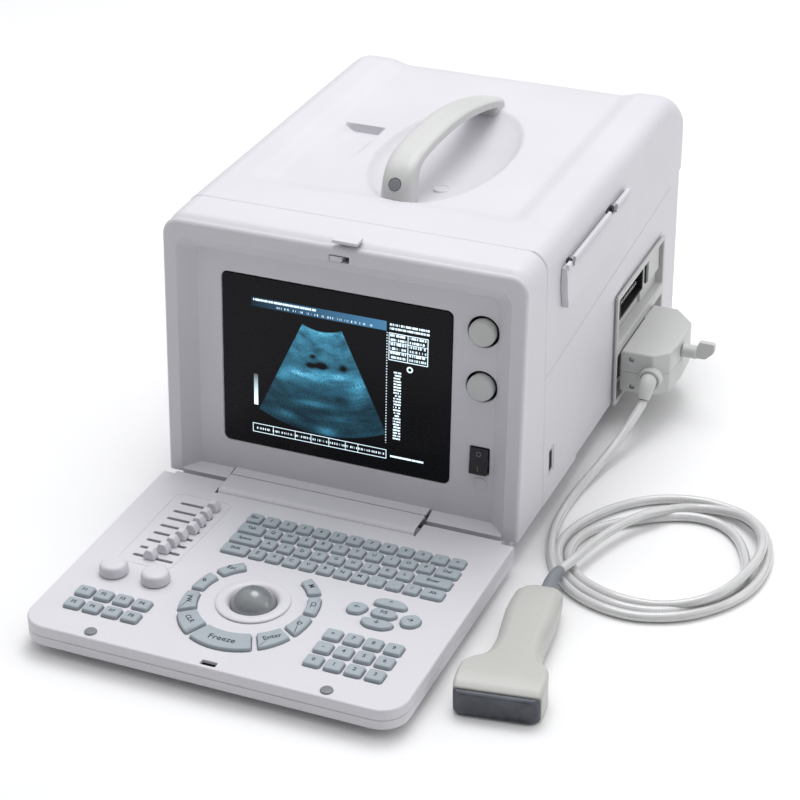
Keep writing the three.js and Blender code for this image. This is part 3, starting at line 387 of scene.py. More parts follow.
def round_rect(x0, x1, y0, y1, r, n=6):
    """Corner radii in the order right-top, left-top, left-bottom, right-bottom."""
    rt, lt, lb, rb = r if isinstance(r, (list, tuple)) else (r,) * 4
    corners = [(x1, y1, rt, 0, -1, -1), (x0, y1, lt, 90, 1, -1), (x0, y0, lb, 180, 1, 1),
        (x1, y0, rb, 270, -1, 1)]
    points = []
    for x, y, rad, a, sx, sy in corners:
        points += arc(x + sx * rad, y + sy * rad, rad, a, a + 90, n) if rad > 0 else [(x, y)]
    return points


def centred(x, y, w, d, r, n=6):
    """Rounded rectangle w by d about a point."""
    return round_rect(x - w / 2, x + w / 2, y - d / 2, y + d / 2, r, n)


def area(points):
    return sum(a[0] * b[1] - b[0] * a[1] for a, b in zip(points, points[1:] + points[:1])) / 2


def inset(points, by):
    """Moves an outline inwards by a fixed distance."""
    if abs(by) < 1e-9:
        return list(points)
    turn = 1 if area(points) > 0 else -1
    moved = []
    for i, p in enumerate(points):
        a, b = Vector(points[i - 1]), Vector(points[(i + 1) % len(points)])
        u, v = (Vector(p) - a).normalized(), (b - Vector(p)).normalized()
        m = Vector((-(u.y + v.y), u.x + v.x)) * turn
        m = m.normalized() if m.length > 1e-6 else Vector((-u.y, u.x)) * turn
        k = max(0.5, abs(m.x * -u.y * turn + m.y * u.x * turn))
        moved.append((p[0] + m.x * by / k, p[1] + m.y * by / k))
    return moved


def bend(s, p, e, n):
    """Quadratic curve from s to e that leans toward p."""
    steps = [j / n for j in range(n + 1)]
    curve = [s * (1 - t) ** 2 + p * 2 * t * (1 - t) + e * t * t for t in steps]
    return [(q.x, q.y) for q in curve]


def soften(points, r, n=4):
    """Rounds every corner of an outline."""
    made = []
    for i, p in enumerate(points):
        p, a, b = Vector(p), Vector(points[i - 1]), Vector(points[(i + 1) % len(points)])
        da, db = a - p, b - p
        k = min(r, da.length * 0.48, db.length * 0.48)
        made += bend(p + da.normalized() * k, p, p + db.normalized() * k, n)
    return made


def smooth_path(points, per):
    """Centripetal Catmull-Rom curve through 3-D points."""
    pts = [Vector(p) for p in points]
    pts = [pts[0] * 2 - pts[1]] + pts + [pts[-1] * 2 - pts[-2]]
    made = []
    for p0, p1, p2, p3 in zip(pts, pts[1:], pts[2:], pts[3:]):
        t1 = (p1 - p0).length ** 0.5
        t2 = t1 + (p2 - p1).length ** 0.5
        t3 = t2 + (p3 - p2).length ** 0.5
        for i in range(per):
            t = t1 + (t2 - t1) * i / per
            a1 = p0 * ((t1 - t) / t1) + p1 * (t / t1)
            a2 = p1 * ((t2 - t) / (t2 - t1)) + p2 * ((t - t1) / (t2 - t1))
            a3 = p2 * ((t3 - t) / (t3 - t2)) + p3 * ((t - t2) / (t3 - t2))
            b1 = a1 * ((t2 - t) / t2) + a2 * (t / t2)
            b2 = a2 * ((t3 - t) / (t3 - t1)) + a3 * ((t - t1) / (t3 - t1))
            made.append(b1 * ((t2 - t) / (t2 - t1)) + b2 * ((t - t1) / (t2 - t1)))
    made.append(pts[-2].copy())
    return made


# ------------------------------------------------------------------ solids
def solid(verts, faces, matrix=None):
    mesh = bpy.data.meshes.new("solid")
    mesh.from_pydata([tuple(v) for v in verts], [], faces)
    if matrix is not None:
        mesh.transform(matrix)
    bm = bmesh.new()
    bm.from_mesh(mesh)
    bmesh.ops.remove_doubles(bm, verts=bm.verts, dist=1e-5)
    bmesh.ops.recalc_face_normals(bm, faces=bm.faces)
    bm.to_mesh(mesh)
    bm.free()
    return placed("solid", mesh)


def loft(loops, matrix=None, closed=False):
    """Closed skin through equal-length loops of 3-D points."""
    n = len(loops[0])
    verts = [p for loop in loops for p in loop]
    faces = []
    rings = len(loops)
    for j in range(rings if closed else rings - 1):
        for i in range(n):
            a, b = j * n + i, j * n + (i + 1) % n
            c, d = ((j + 1) % rings) * n + (i + 1) % n, ((j + 1) % rings) * n + i
            faces.append((a, b, c, d))
    if not closed:
        faces.append(tuple(reversed(range(n))))
        faces.append(tuple(range((rings - 1) * n, rings * n)))
    return solid(verts, faces, matrix)


def lift(points, axis, w):
    if axis == "x":
        return [(w, a, b) for a, b in points]
    if axis == "y":
        return [(a, w, b) for a, b in points]
    return [(a, b, w) for a, b in points]


def slab(points, lo, hi, axis="z", r_lo=0.0, r_hi=0.0, matrix=None, seg=4):
    """Prism of an outline with rounded edges at either end."""
    loops = []
    for r, w, sign in ((r_lo, lo, 1), (r_hi, hi, -1)):
        steps = [pi / 2 * k / seg for k in range(seg + 1)] if r > 0 else [pi / 2]
        ring = [lift(inset(points, r * (1 - sin(a))), axis, w + sign * r * (1 - cos(a))) for a in steps]
        loops += ring if sign > 0 else ring[::-1]
    return loft(loops, matrix)


def stepped(points, rows, axis="z", matrix=None, closed=False):
    """Loft of one outline: for each (i, w) in rows it lies i inside itself at w along the axis."""
    return loft([lift(inset(points, i), axis, w) for i, w in rows], matrix, closed)


def box(x0, x1, y0, y1, z0, z1, matrix=None):
    return slab([(x0, y0), (x1, y0), (x1, y1), (x0, y1)], z0, z1, matrix=matrix)


def turned(profile, n=48, matrix=None):
    """Solid of revolution about +Z; profile points are (radius, z) from the bottom up."""
    verts, faces, rings = [], [], []
    for r, z in profile:
        if r < 1e-6:
            rings.append([len(verts)] * n)
            verts.append((0, 0, z))
        else:
            rings.append(list(range(len(verts), len(verts) + n)))
            verts += [(r * cos(2 * pi * i / n), r * sin(2 * pi * i / n), z) for i in range(n)]
    hollow = profile[0][0] > 1e-6 or profile[-1][0] > 1e-6
    pairs = list(zip(rings, rings[1:])) + ([(rings[-1], rings[0])] if hollow else [])
    for low, high in pairs:
        for i in range(n):
            face = [low[i], low[(i + 1) % n], high[(i + 1) % n], high[i]]
            face = [v for k, v in enumerate(face) if v not in face[:k]]
            if len(face) > 2:
                faces.append(tuple(face))
    return solid(verts, faces, matrix)


def round_section(line, i, r, n):
    """Circle across a path at its point i."""
    t = (line[min(i + 1, len(line) - 1)] - line[max(i - 1, 0)]).normalized()
    side = Vector((0, 0, 1)).cross(t).normalized()
    up = t.cross(side)
    return [line[i] + side * a + up * b for a, b in circle(0, 0, r, n)]


def sleeve(stations, n=32):
    """Round section swept along stations (x, y, z, radius)."""
    line = [Vector(s[:3]) for s in stations]
    return loft([round_section(line, i, s[3], n) for i, s in enumerate(stations)])


def bake(obj):
    """Puts the result of an object's modifiers into its mesh."""
    graph = bpy.context.evaluated_depsgraph_get()
    mesh = bpy.data.meshes.new_from_object(obj.evaluated_get(graph))
    obj.modifiers.clear()
    old, obj.data = obj.data, mesh
    bpy.data.meshes.remove(old)
    return obj


def combine(objs):
    """One object that holds several separate solids."""
    bm = bmesh.new()
    for o in objs:
        bm.from_mesh(o.data)
    mesh = bpy.data.meshes.new("solid")
    bm.to_mesh(mesh)
    bm.free()
    for o in objs:
        bpy.data.objects.remove(o)
    return placed("solid", mesh)


def boolean(kind, body, *tools):
    for tool in tools:
        mod = body.modifiers.new("cut", "BOOLEAN")
        mod.operation, mod.object, mod.solver = kind, tool, "MANIFOLD"
    bake(body)
    for tool in tools:
        bpy.data.objects.remove(tool)
    return body


def cut(body, *tools):
    return boolean("DIFFERENCE", body, *tools)


def join(body, *tools):
    return boolean("UNION", body, *tools)


def keep(body, *tools):
    return boolean("INTERSECT", body, *tools)


def flare(points, lo, hi, by=0.6, axis="z", matrix=None):
    """Cutter whose mouth opens by a small chamfer at hi."""
    step = by if hi > lo else -by
    rows = [(0, lo), (0, hi - step), (-by, hi), (-by, hi + step * 4)]
    return stepped(points, rows, axis, matrix)


def piece(obj, name, body, look, *nodes, angle=32.0, slot=None):
    """Finishes a piece: row frame, shading, material, body and the CAD nodes that it stands for."""
    obj.name = obj.data.name = name
    obj.data.transform(TO_ROW)
    obj.data.polygons.foreach_set("use_smooth", [True] * len(obj.data.polygons))
    obj.data.set_sharp_from_angle(angle=radians(angle))
    mod = obj.modifiers.new("flat faces", "WEIGHTED_NORMAL")
    mod.keep_sharp = True
    bake(obj)
    obj.data.materials.clear()
    obj.data.materials.append(M[look])
    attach(obj, body)
    if nodes:
        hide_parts(*nodes)
    return obj


# ------------------------------------------------------------------ probe cable
CABLE_LIES_AT = 4.4
CABLE_START = [(191.38, 237.02, 38.84), (191.3, 235.2, 36.5), (190.3, 231, 34), (187, 216, 26.5),
    (183.1, 199, 19.5), (178.3, 177.8, 12.8), (173.5, 151.2, 7.8), (169.5, 123.2, 5.2), (168.4, 93.7, 4.5)]
CABLE_ON_TABLE = [(170.4, 65.2), (176.3, 37.9), (186.2, 13), (198.9, -6.2), (214.9, -21.3), (232.2, -30.2),
    (251.4, -35.1), (271.3, -35.3), (290.9, -29.6), (309.2, -19.6), (324.5, -5.1), (337.5, 12.8), (346.5, 33.7),
    (349.9, 58.1), (348.2, 83.4), (340.9, 107.8), (329, 126.8), (313.7, 139.1), (295.4, 145.4), (275.4, 147.7),
    (256, 144.4), (237.9, 136.9), (221.8, 125.5), (207.9, 110.5), (196.2, 92.2), (187.1, 71.8), (183.2, 51.3),
    (184.8, 31.6), (192.8, 12.5), (205.1, -2.9), (221.2, -14.9), (239, -22.9), (258.6, -26.7), (278.8, -24.9),
    (297.1, -17.6), (313.1, -5.2), (325.3, 9.4), (333.7, 26.3), (337.2, 45.3), (334.6, 65.3), (327.1, 85.3),
    (316.9, 102.2), (304.1, 114.4), (289.3, 120.6), (272.7, 120.7), (256.1, 114.8), (240.5, 105.7), (225.5, 94.7),
    (211.7, 83), (200.5, 68.9), (194, 50.7), (194.3, 30.6), (202.7, 12.5), (215.2, -1.2), (230.4, -9.7),
    (247.3, -15.1), (266.3, -17)]
CABLE_END = [(285, -16, 5.6), (302.6, -12.1, 8.6), (317.3, -4.2, 11.6), (328.3, 8.5, 13), (335.8, 25.7, 13.1),
    (340.7, 46.8, 13.1), (343.3, 68.3, 13), (341.3, 89.8, 13), (333.7, 108.9, 12.8), (321.9, 122.9, 11.5),
    (308.2, 132.9, 8.5), (292.4, 137, 6), (276.9, 136.5, 4.6), (263.2, 128.8, 6.2), (252.3, 114.9, 10.2),
    (242.4, 101.2, 13), (233.2, 88.5, 13.4), (225.1, 73.1, 13.7), (218.4, 56.3, 14), (212.5, 37.5, 14.2),
    (208.2, 18.5, 14.3), (204, 2, 14.4), (200.8, -10, 14.4)]
CABLE = CABLE_START + [(x, y, CABLE_LIES_AT) for x, y in CABLE_ON_TABLE] + CABLE_END


def make_cable():
    line = smooth_path(CABLE, 5)
    sides = 20
    verts, faces, stations, run = [], [], [], 0.0
    for i, p in enumerate(line):
        run += (p - line[i - 1]).length if i else 0.0
        stations.append(run)
        verts += round_section(line, i, CABLE_R, sides)
    for j in range(len(line) - 1):
        for i in range(sides):
            a, b = j * sides + i, j * sides + (i + 1) % sides
            faces.append((a, b, b + sides, a + sides))
    ends = [tuple(reversed(range(sides))), tuple(range(len(verts) - sides, len(verts)))]
    mesh = bpy.data.meshes.new("cable_tube")
    mesh.from_pydata([tuple(v) for v in verts], [], faces + ends)
    layer = mesh.uv_layers.new(name="UVMap")
    for face in mesh.polygons:
        ring = len(face.vertices) == 4
        for k, loop in enumerate(face.loop_indices):
            v = face.vertices[k]
            j, i = divmod(v, sides)
            wrap = 1.0 if ring and i == 0 and sides - 1 in [w % sides for w in face.vertices] else i / sides
            layer.data[loop].uv = (stations[j] / run, wrap)
    obj = placed("cable_tube", mesh)
    obj.data.transform(TO_ROW)
    obj.data.polygons.foreach_set("use_smooth", [True] * len(faces) + [False] * 2)
    obj.data.materials.append(M["cable"])
    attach(obj, "probe_set")
    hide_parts("probe_cable")
    route = [TO_ROW @ p for p in line]
    return obj, route


cable_tube, cable_route = make_cable()


# ------------------------------------------------------------------ main unit, front bezel
def face_loop(i, depth, top, r):
    outline = round_rect(-HALF_W + i, HALF_W - i, i * 0.5, top - i, (max(1, r - i), max(1, r - i), 1.2, 1.2), 8)
    made = []
    for x, h in outline:
        p = LEAN @ Vector((x, depth, h))
        made.append((p.x, p.y, max(p.z, BODY_Z + i * 0.5)))
    return made


def wall_loop(y, top, r):
    return [(x, y, z) for x, z in round_rect(-HALF_W, HALF_W, BODY_Z, top, (r, r, 1.2, 1.2), 8)]


def bezel():
    soft = 3.2
    loops = []
    for k in range(6):
        a = pi / 2 * k / 5
        loops.append(face_loop(soft * (1 - sin(a)), soft * (1 - cos(a)), 231.5 + 1.6 * k / 5, 15))
    loops += [wall_loop(22.6, 254.0, 17.5), wall_loop(26.0, 256.6, 18), wall_loop(30.5, 258.0, 18)]
    loops += [wall_loop(45, 258.6, 18), wall_loop(SEAM_Y - 0.9, 258.9, 18)]
    loops += [[(x * 0.996, SEAM_Y - 0.3, BODY_Z + (z - BODY_Z) * 0.9975) for x, _, z in wall_loop(0, 258.9, 18)]]
    body = loft(loops)
    hollow = [(16.1, 28), (31, 248), (37, 254), (64, 255), (64, 26.2), (18, 26.2)]
    cavity = slab(hollow, -156.6, 156.6, "x")
    keep(cavity, slab(round_rect(-156.6, 156.6, 20, 255.6, (15, 15, 0, 0)), 0, 90, "y"))
    recess = [(-147.6, 147.3, 219.6, -1.5, 12.6), (-147.6, 147.3, 219.6, -0.4, 12.6),
        (-146.6, 146.3, 218.6, 0.8, 12), (-135.4, 133.2, 208.4, 11.2, 6.4), (-134.6, 132.4, 207.6, 12.0, 6.0)]
    rows = [[(x, d, h) for x, h in round_rect(x0, x1, -8, top, (r, r, 0.5, 0.5), 8)]
        for x0, x1, top, d, r in recess]
    cut(body, cavity, loft(rows, LEAN))
    holes = [flare(round_rect(-112, 94, 34.5, 189.5, 5.5), 17, 12, 0.8, "y", LEAN)]
    holes += [flare(circle(x, h, KNOB_HOLE_R), 17, 12, 0.35, "y", LEAN) for _, x, h in KNOBS]
    holes += [flare(round_rect(111.6, 128.6, 50.8, 74.8, 0.8, 3), 17, 12, 0.5, "y", LEAN)]
    holes += [flare(round_rect(-9, 8.4, 219.8, 225.4, 0.8, 3), 17, 0, 0.3, "y", LEAN)]
    cut(body, *holes)
    # thin moulded ring below the rocker
    ring = [(5.4, -0.5), (6.4, -0.5), (6.4, 0.5), (5.9, 0.7), (5.4, 0.5)]
    stand = LEAN @ shift((121.5, 12.0, 40.6)) @ FACE_FRONT
    join(body, turned(ring, 40, stand))
    for x0, x1 in KNUCKLES:
        web = [(-1.0, 27.2), (1, 27.4), (13.6, 30), (13.6, 23.2), (8.4, 23.2), (8.4, 10.5), (AXIS_Y, 6.6),
            (AXIS_Y, 9.6)]
        web += arc(AXIS_Y, AXIS_Z, SWEEP_R, -41, 23, 8)
        web = slab(web, x0 + 0.1, x1 - 0.1, "x")
        barrel = slab(circle(AXIS_Y, AXIS_Z, BARREL_R, 48), x0, x1, "x", 0.7, 0.7)
        join(body, web, barrel)
        cut(body, slab(circle(AXIS_Y, AXIS_Z, PIN_R, 24), x0 - 2, x1 + 2, "x"))
    shelf = [(1.9, 30.5), (2.9, 29.4), (3.4, 28.9), (13.4, 28.9), (13.4, 30.8)]
    join(body, slab(shelf, -101, 78, "x", 0.3, 0.3))
    piece(body, "bezel_front", "main_unit", "bezel", "front_bezel")


# ------------------------------------------------------------------ main unit, top cover
def ease(t):
    t = min(1.0, max(0.0, t))
    return t * t * (3 - 2 * t)


def blend_max(a, b, k):
    """The larger of two heights, with a soft crossing k wide."""
    h = max(k - abs(a - b), 0.0) / k
    return max(a, b) + h * h * k / 4


def top_sink(x, y):
    """How far the top lies below the shoulders at a point: the valley, the bowl and the finger groove."""
    valley = 4.6 * ease((126 - abs(x)) / 20) * ease((y - 100) / 24)
    reach2 = ((x - 8) / 59) ** 2 + ((y - 225) / 110) ** 2
    bowl = 3.0 + 18.0 * (1 - reach2) ** 0.6 if reach2 < 1 else 3.0 - 30 * (sqrt(reach2) - 1)
    sink = blend_max(valley, bowl, 1.6) if bowl > 0 else valley
    along = (256.5 - y) / 78
    inside = ease((x + 107) / 17) * ease((-62 - x) / 5) * ease(along * 78 / 2.0)
    return sink + 7.2 * max(0.0, 1 - along) * inside


def cover_skin(grow):
    """Lofted skin of the cover; grow > 0 gives the inner surface."""
    g = grow
    ys = [SEAM_Y - 6 if g else SEAM_Y + 0.3, SEAM_Y + 1.1]
    y = 63.0
    while y < BACK_Y2 - BACK_ROUND - 1:
        ys.append(y)
        y += TOP_STEP
    ys += [BACK_Y2 - g - (BACK_ROUND - g) * (1 - sin(radians(a))) for a in range(0, 91, 6)]
    loops = []
    for k, y in enumerate(ys):
        over = min(1.0, max(0.0, (y - (BACK_Y2 - BACK_ROUND)) / (BACK_ROUND - g)))
        top = TOP_Z - (TOP_WALL if g else 0) - (BACK_ROUND - g) * (1 - sqrt(max(0.0, 1 - over * over)))
        near = min(1.0, max(0.0, (y - (BACK_Y2 - g - 12)) / 12))
        half = HALF_W - g - 12 * (1 - sqrt(max(0.0, 1 - near * near)))
        if k == 0 and not g:
            half, top = half - 0.6, top - 0.6
        r = 17.0 - g * 0.5
        flat = half - r
        xs = [flat - 2 * flat * i / TOP_CELLS for i in range(TOP_CELLS + 1)]
        fade = ease((1 - over) / 0.12)
        row = [(half, z) for z in (BODY_Z - (3 if g else 0), 60, 120, 190)]
        row = [p for p in row if p[1] < top - r - 2] + arc(flat, top - r, r, 0, 84, 7)
        row = [(half, BODY_Z - (3 if g else 0))] * (4 + 8 - len(row)) + row
        left = [(-a, b) for a, b in reversed(row)]
        ring = row + [(x, top - top_sink(x, y) * fade) for x in xs] + left
        loops.append([(x, y, z) for x, z in ring])
    return loft(loops)


def cover():
    body = cover_skin(0)
    low = [(147, 20), (147, 51), (150, 70), (153, 78), (163, 99), (176, 115), (188, 125), (201, 130), (228, 133)]
    low += [(257, 135), (340, 156), (432, 177), (460, 183), (460, 20)]
    sides = []
    for s in (-1, 1):
        rows = [(inset(low, i), 160 - d) for i, d in ((-0.9, -2), (-0.9, 0.0), (0.0, 1.2), (0.4, 1.8))]
        sides.append(loft([[(s * w, a, b) for a, b in pts] for pts, w in rows]))
        crease = [(160.0 + 0.5, -0.9), (160.0 + 0.5, 0.9), (160 - 0.9, 0.0)]
        ends = [(SEAM_Y, 145.4), (420, 173)]
        sides.append(loft([[(s * a, y, z + b) for a, b in crease] for y, z in ends]))
    cut(body, *sides)
    step = [(BACK_Y, 0), (BACK_Y, 186), (BACK_Y2 + 2, 190.5), (BACK_Y2 + 2, 0)]
    cut(body, slab(step, -200, 200, "x"))
    inner = cover_skin(3.2)
    keep(inner, slab([(0, 0), (BACK_Y - 3.2, 0), (BACK_Y - 3.2, 187), (BACK_Y2, 193), (BACK_Y2, 300), (0, 300)],
        -200, 200, "x"))
    cut(body, inner)
    cut(body, box(-140, 140, BACK_Y - 6, BACK_Y + 2, 34, 178))
    bay_hole = round_rect(BAY["y0"] + 2, BAY["y1"] - 2, BAY["z0"] - 5, BAY["z1"] - 2, 2)
    cut(body, flare(bay_hole, 148, 158.4, 0.4, "x"), flare(round_rect(73, 86.5, 46, 71, 1.2), 148, 160, 0.5, "x"))
    for y0, y1 in ((104.2, 112.8), (205.4, 221.6)):
        cut(body, slab(round_rect(y0, y1, 225.6, 233, 1), 157.5, 164, "x"))
    # round boss in the bowl, with its shallow dished top
    boss = turned([(0, -5), (8.2, -5), (7.6, 0.2), (6.9, 0.9), (6.1, 0.9), (5.6, 0.3), (0, 0.3)],
        40, shift((23, 178, 242.0)))
    join(body, boss)
    piece(body, "cover_main", "main_unit", "shell", "main_cover", angle=40)


# ------------------------------------------------------------------ main unit, fittings
def handle():
    """Arched grip: a rounded section swept along the arch, flaring into its two feet."""
    top = [(115.6, 251.5), (116.2, 256.6), (118.0, 262.5), (122.5, 271), (130.5, 278.8), (146, 285.1),
        (163, 287.7), (190, 288.8), (235, 287), (283, 279), (325, 268), (342, 262), (348.6, 259.3), (350, 256.6),
        (350, 251.5)]
    low = [(143, 244.5), (143, 256.6), (143.6, 262), (145.2, 268.4), (150.8, 274.6), (163, 277.2), (176, 278.0),
        (190, 278.2), (235, 276.4), (283, 268.8), (322, 258.8), (323.6, 257.6), (324, 256.6), (324.6, 253),
        (325, 245)]
    outer, inner = smooth_path([(0, *p) for p in top], 6), smooth_path([(0, *p) for p in low], 6)
    section = [(u, w) for u, w in round_rect(-1, 1, -1, 1, (0.62, 0.62, 0.42, 0.42), 6)]
    loops = []
    for a, b in zip(outer, inner):
        mid, half = (a + b) / 2, (a - b) / 2
        loops.append([(4.0 + 13.6 * u, mid.y + half.y * w, mid.z + half.z * w) for u, w in section])
    body = loft(loops)
    stand = shift((4, 120.6, 267)) @ Matrix.Rotation(radians(56), 4, "X")
    cut(body, turned([(0, -4), (5.6, -4), (5.6, 0.1), (6.2, 1.2), (6.2, 8), (0, 8)], 40, stand))
    piece(body, "handle_grip", "main_unit", "light_grey", "carry_handle", angle=50)
    cap = turned([(0, -3.7), (5.3, -3.7), (5.3, 0.0), (4.9, 0.5), (3.0, 0.7), (0, 0.75)], 40, stand)
    piece(cap, "handle_screw_cap", "main_unit", "mid_grey", "handle_cap")


def latch():
    tab = slab([(-6.6, 17.2), (-2.4, 30.4), (15.8, 28.4), (15.6, 16.4), (14.6, 15.8), (-5.6, 16.2)],
        258.75, 261.2, "z", 0.0, 0.7)
    hook = box(-1, 2.2, 5, 10, 223.2, 237.5, LEAN)
    tongue = slab(round_rect(-8, 2.2, -1.7, 9, 0.8, 3), 220.6, 224.6, "z", 0.4, 0.4, LEAN)
    piece(join(hook, tongue), "latch_hook", "latch", "shell")
    piece(tab, "latch_tab", "latch", "shell", "latch_button")


def rail():
    """Folded rail along the upper right wall, its lip broken by two notches, with dark plates set in them as
    painted shade for the pockets behind.
    """
    section = [(160.4, 194), (165.2, 194), (166, 195), (166, 221), (164.6, 229.6), (163.8, 230.4), (160.4, 230.4)]
    body = slab(section, 92, 257, "y")
    nose = [(90, 190), (97.4, 190), (96.4, 199), (93.6, 208), (92.8, 220), (94.6, 232), (90, 236)]
    cut(body, slab(soften(nose, 2.5), 159, 170, "x"))
    cut(body, box(159, 170, 104, 113, 225.6, 240), box(159, 170, 205, 222, 225.6, 240))
    lips = [slab(round_rect(y0, y1, 228.4, 233.2, (0.6, 0.6, 0.2, 0.2), 3), 163.2, 166, "x", 0.0, 0.5)
        for y0, y1 in ((95.4, 104), (113, 205), (222, 257))]
    piece(join(body, *lips), "rail_probe_holder", "main_unit", "shell", "probe_holder_rail")
    # painted shade: dark plates in the notches stand in for the shadow in the pockets behind the rail
    notch_shade_plates = combine([box(160.1, 162.6, 104.6, 112.4, 226.4, 231.4), box(160.1, 162.6, 206, 211, 226.4, 231.4),
        box(160.1, 162.6, 216, 221, 226.4, 231.4)])
    piece(notch_shade_plates, "rail_notch_shade_plates", "main_unit", "dark", slot="dark")


def bay():
    outer = round_rect(BAY["y0"], BAY["y1"], BAY["z0"], BAY["z1"], 3)
    body = slab(outer, 160.3, 162.2, "x", 0.0, 0.8)
    tray = slab(round_rect(BAY["y0"] + 2.4, BAY["y1"] - 2.4, BODY_Z + 0.4, BAY["z1"] - 2.4, 2), 150.3, 161, "x")
    join(body, tray)
    cut(body, flare(round_rect(251, 384, 82, 126.5, 2), 155, 162.2, 0.7, "x"))
    cut(body, flare(round_rect(251, 384, 25, 71, 2), 152.8, 162.2, 0.7, "x"))
    cut(body, slab(round_rect(266, 334, 98.5, 126.5, 0.5), 140, 170, "x"), box(152.8, 158, 262, 336, 84, 125))
    cut(body, slab(round_rect(266, 347, 38, 66, 0.5), 140, 170, "x"))
    piece(body, "bay_frame", "main_unit", "light_grey", "socket_bay")
    lid = slab(round_rect(349, 381, 98, 122.6, 1.2), 154.2, 158.6, "x", 0.0, 0.6)
    piece(lid, "bay_small_cover", "main_unit", "light_grey")
    edge = cut(slab(round_rect(347.8, 382.2, 96.8, 123.8, 1.5), 154.4, 156.4, "x"),
        slab(round_rect(349.3, 380.7, 98.3, 122.3, 1.2), 150, 160, "x"))
    piece(edge, "bay_cover_gasket", "main_unit", "dark")
    for name, y0, y1, z0, z1 in (("upper", 266.3, 333.7, 98.8, 126.2), ("lower", 266.3, 346.7, 38.3, 65.7)):
        shell = slab(round_rect(y0, y1, z0, z1, 1), 137.5, 158, "x", 0, 0.4)
        cut(shell, flare(round_rect(y0 + 2, y1 - 2, z0 + 2, z1 - 2, 0.8), 139.5, 158, 0.4, "x"))
        piece(shell, "socket_" + name, "main_unit", "dark", "probe_socket_" + name)
    blades = [slab(centred(271.5 + i * 4.75, z, 1.8, 3.8, 0.5, 2), 139.4, 153.0, "x", 0, 0.5) for i in range(13)
        for z in (106.0, 112.5, 119.0)]
    piece(combine(blades), "socket_upper_blades", "main_unit", "metal")
    usb = slab(round_rect(73.3, 86.2, 46.3, 70.7, 1), 152, 159.6, "x", 0, 0.3)
    cut(usb, flare(round_rect(76, 83.5, 49, 68, 0.6), 154, 159.6, 0.4, "x"))
    piece(usb, "usb_shell", "main_unit", "metal", "usb_port")
    tongue = slab(round_rect(78.4, 81.0, 50.5, 66.5, 0.4, 2), 153.8, 158.2, "x", 0, 0.3)
    piece(tongue, "usb_tongue", "main_unit", "dark")
    side_screw = turned([(0, -1.2), (2.9, -1.2), (2.9, 0.2), (2.2, 0.7), (0, 0.8)],
        24, shift((161.8, 269, 29)) @ FACE_SIDE)
    cut(side_screw, box(161.9, 165, 266, 272, 28.6, 29.4))
    piece(side_screw, "bay_screw", "main_unit", "metal")


def front_parts():
    glass = slab(round_rect(-111.5, 93.5, 35, 189, 5, 8), 12, 14.6, "y", 0.5, 0.0, LEAN)
    piece(glass, "screen_glass", "main_unit", "glass", "display_glass")
    for name, x, h in KNOBS:
        stand = LEAN @ shift((x, 0, h)) @ FACE_FRONT
        cap = turned([(0, -14), (11.2, -14), (11.4, -12), (11.4, -9.2), (11.1, -7.9), (10.3, -7.0), (9.0, -6.5),
            (0, -6.2)], 64, stand)
        piece(cap, "knob_" + name, name, "light_grey", name + "_knob", slot="shell")
    side = [(7.6, 51.6), (8.3, 57.4), (9.4, 62.8), (9.7, 68.4), (10.4, 74.2), (14.6, 74.2), (14.6, 51.6)]
    rows = [(0.6, 112.3), (0.2, 112.7), (0.0, 113.0), (0.0, 127.2), (0.2, 127.5), (0.6, 127.9)]
    rocker = stepped(side, rows, "x", LEAN)
    piece(rocker, "rocker_power", "rocker", "dark", "power_rocker", angle=25)
    ring = slab(circle(120.1, 69.4, 2.2, 32), 9.3, 9.75, "y", 0, 0, LEAN)
    cut(ring, slab(circle(120.1, 69.4, 1.6, 32), 8, 11, "y", 0, 0, LEAN))
    bar = box(119.8, 120.4, 7.85, 8.35, 54.6, 58.6, LEAN)
    piece(combine([ring, bar]), "rocker_marks", "rocker", "mid_grey")


# ------------------------------------------------------------------ keyboard
def keyboard_outline(i):
    """Plan of the keyboard, i inside its edge; the notches of the knuckles keep their depth."""
    s = 1 if i > 0 else 0
    right = arc(KB_HALF - 22, KB_FRONT + 22, 22 - i, 270, 360, 10)
    right += [(KB_HALF - i, -9 - i), (148 + i, -9 - i), (148 + i, KB_NOTCH - i), (78.3 - i * s, KB_NOTCH - i)]
    right += [(78.3 - i * s, KB_MID_BACK - i)]
    left = [(-101.3 + i * s, KB_MID_BACK - i), (-101.3 + i * s, KB_NOTCH - i), (-148 - i, KB_NOTCH - i)]
    left += [(-148 - i, -9 - i), (-KB_HALF + i, -9 - i)]
    left += arc(-KB_HALF + 22, KB_FRONT + 22, 22 - i, 180, 270, 10)
    return right + left


def rect_key(x, y, w, d):
    return centred(x, y, w, d, 2.6, 4)


def key_row(x0, y, widths, d=13.4):
    made, x = [], x0
    for w in widths:
        made.append((rect_key(x + w / 2, y, w - 1.8, d), x + w / 2, y))
        x += w
    return made


def ring_reach(a):
    """Inner and outer radius of the ring of keys, which is deeper toward the front."""
    front = max(0.0, -sin(radians(a)))
    return 42.6 + 2.6 * front, 53.6 + 14 * front ** 1.4


def ring_edge(a0, a1, n, side, grow=0.0):
    steps = [a0 + (a1 - a0) * i / n for i in range(n + 1)]
    return [(BALL[0] + (ring_reach(a)[side] + grow) * cos(radians(a)),
        BALL[1] + (ring_reach(a)[side] + grow) * sin(radians(a))) for a in steps]


def ring_key(a0, a1):
    n = max(2, round((a1 - a0) / 6))
    outer, inner = ring_edge(a0, a1, n, 1), ring_edge(a1, a0, n, 0)
    middle = radians((a0 + a1) / 2)
    points = corner_round(outer + inner, {0, n, n + 1, 2 * n + 1}, 2.4)
    r = sum(ring_reach(degrees(middle))) / 2
    return points, BALL[0] + r * cos(middle), BALL[1] + r * sin(middle), degrees(middle)


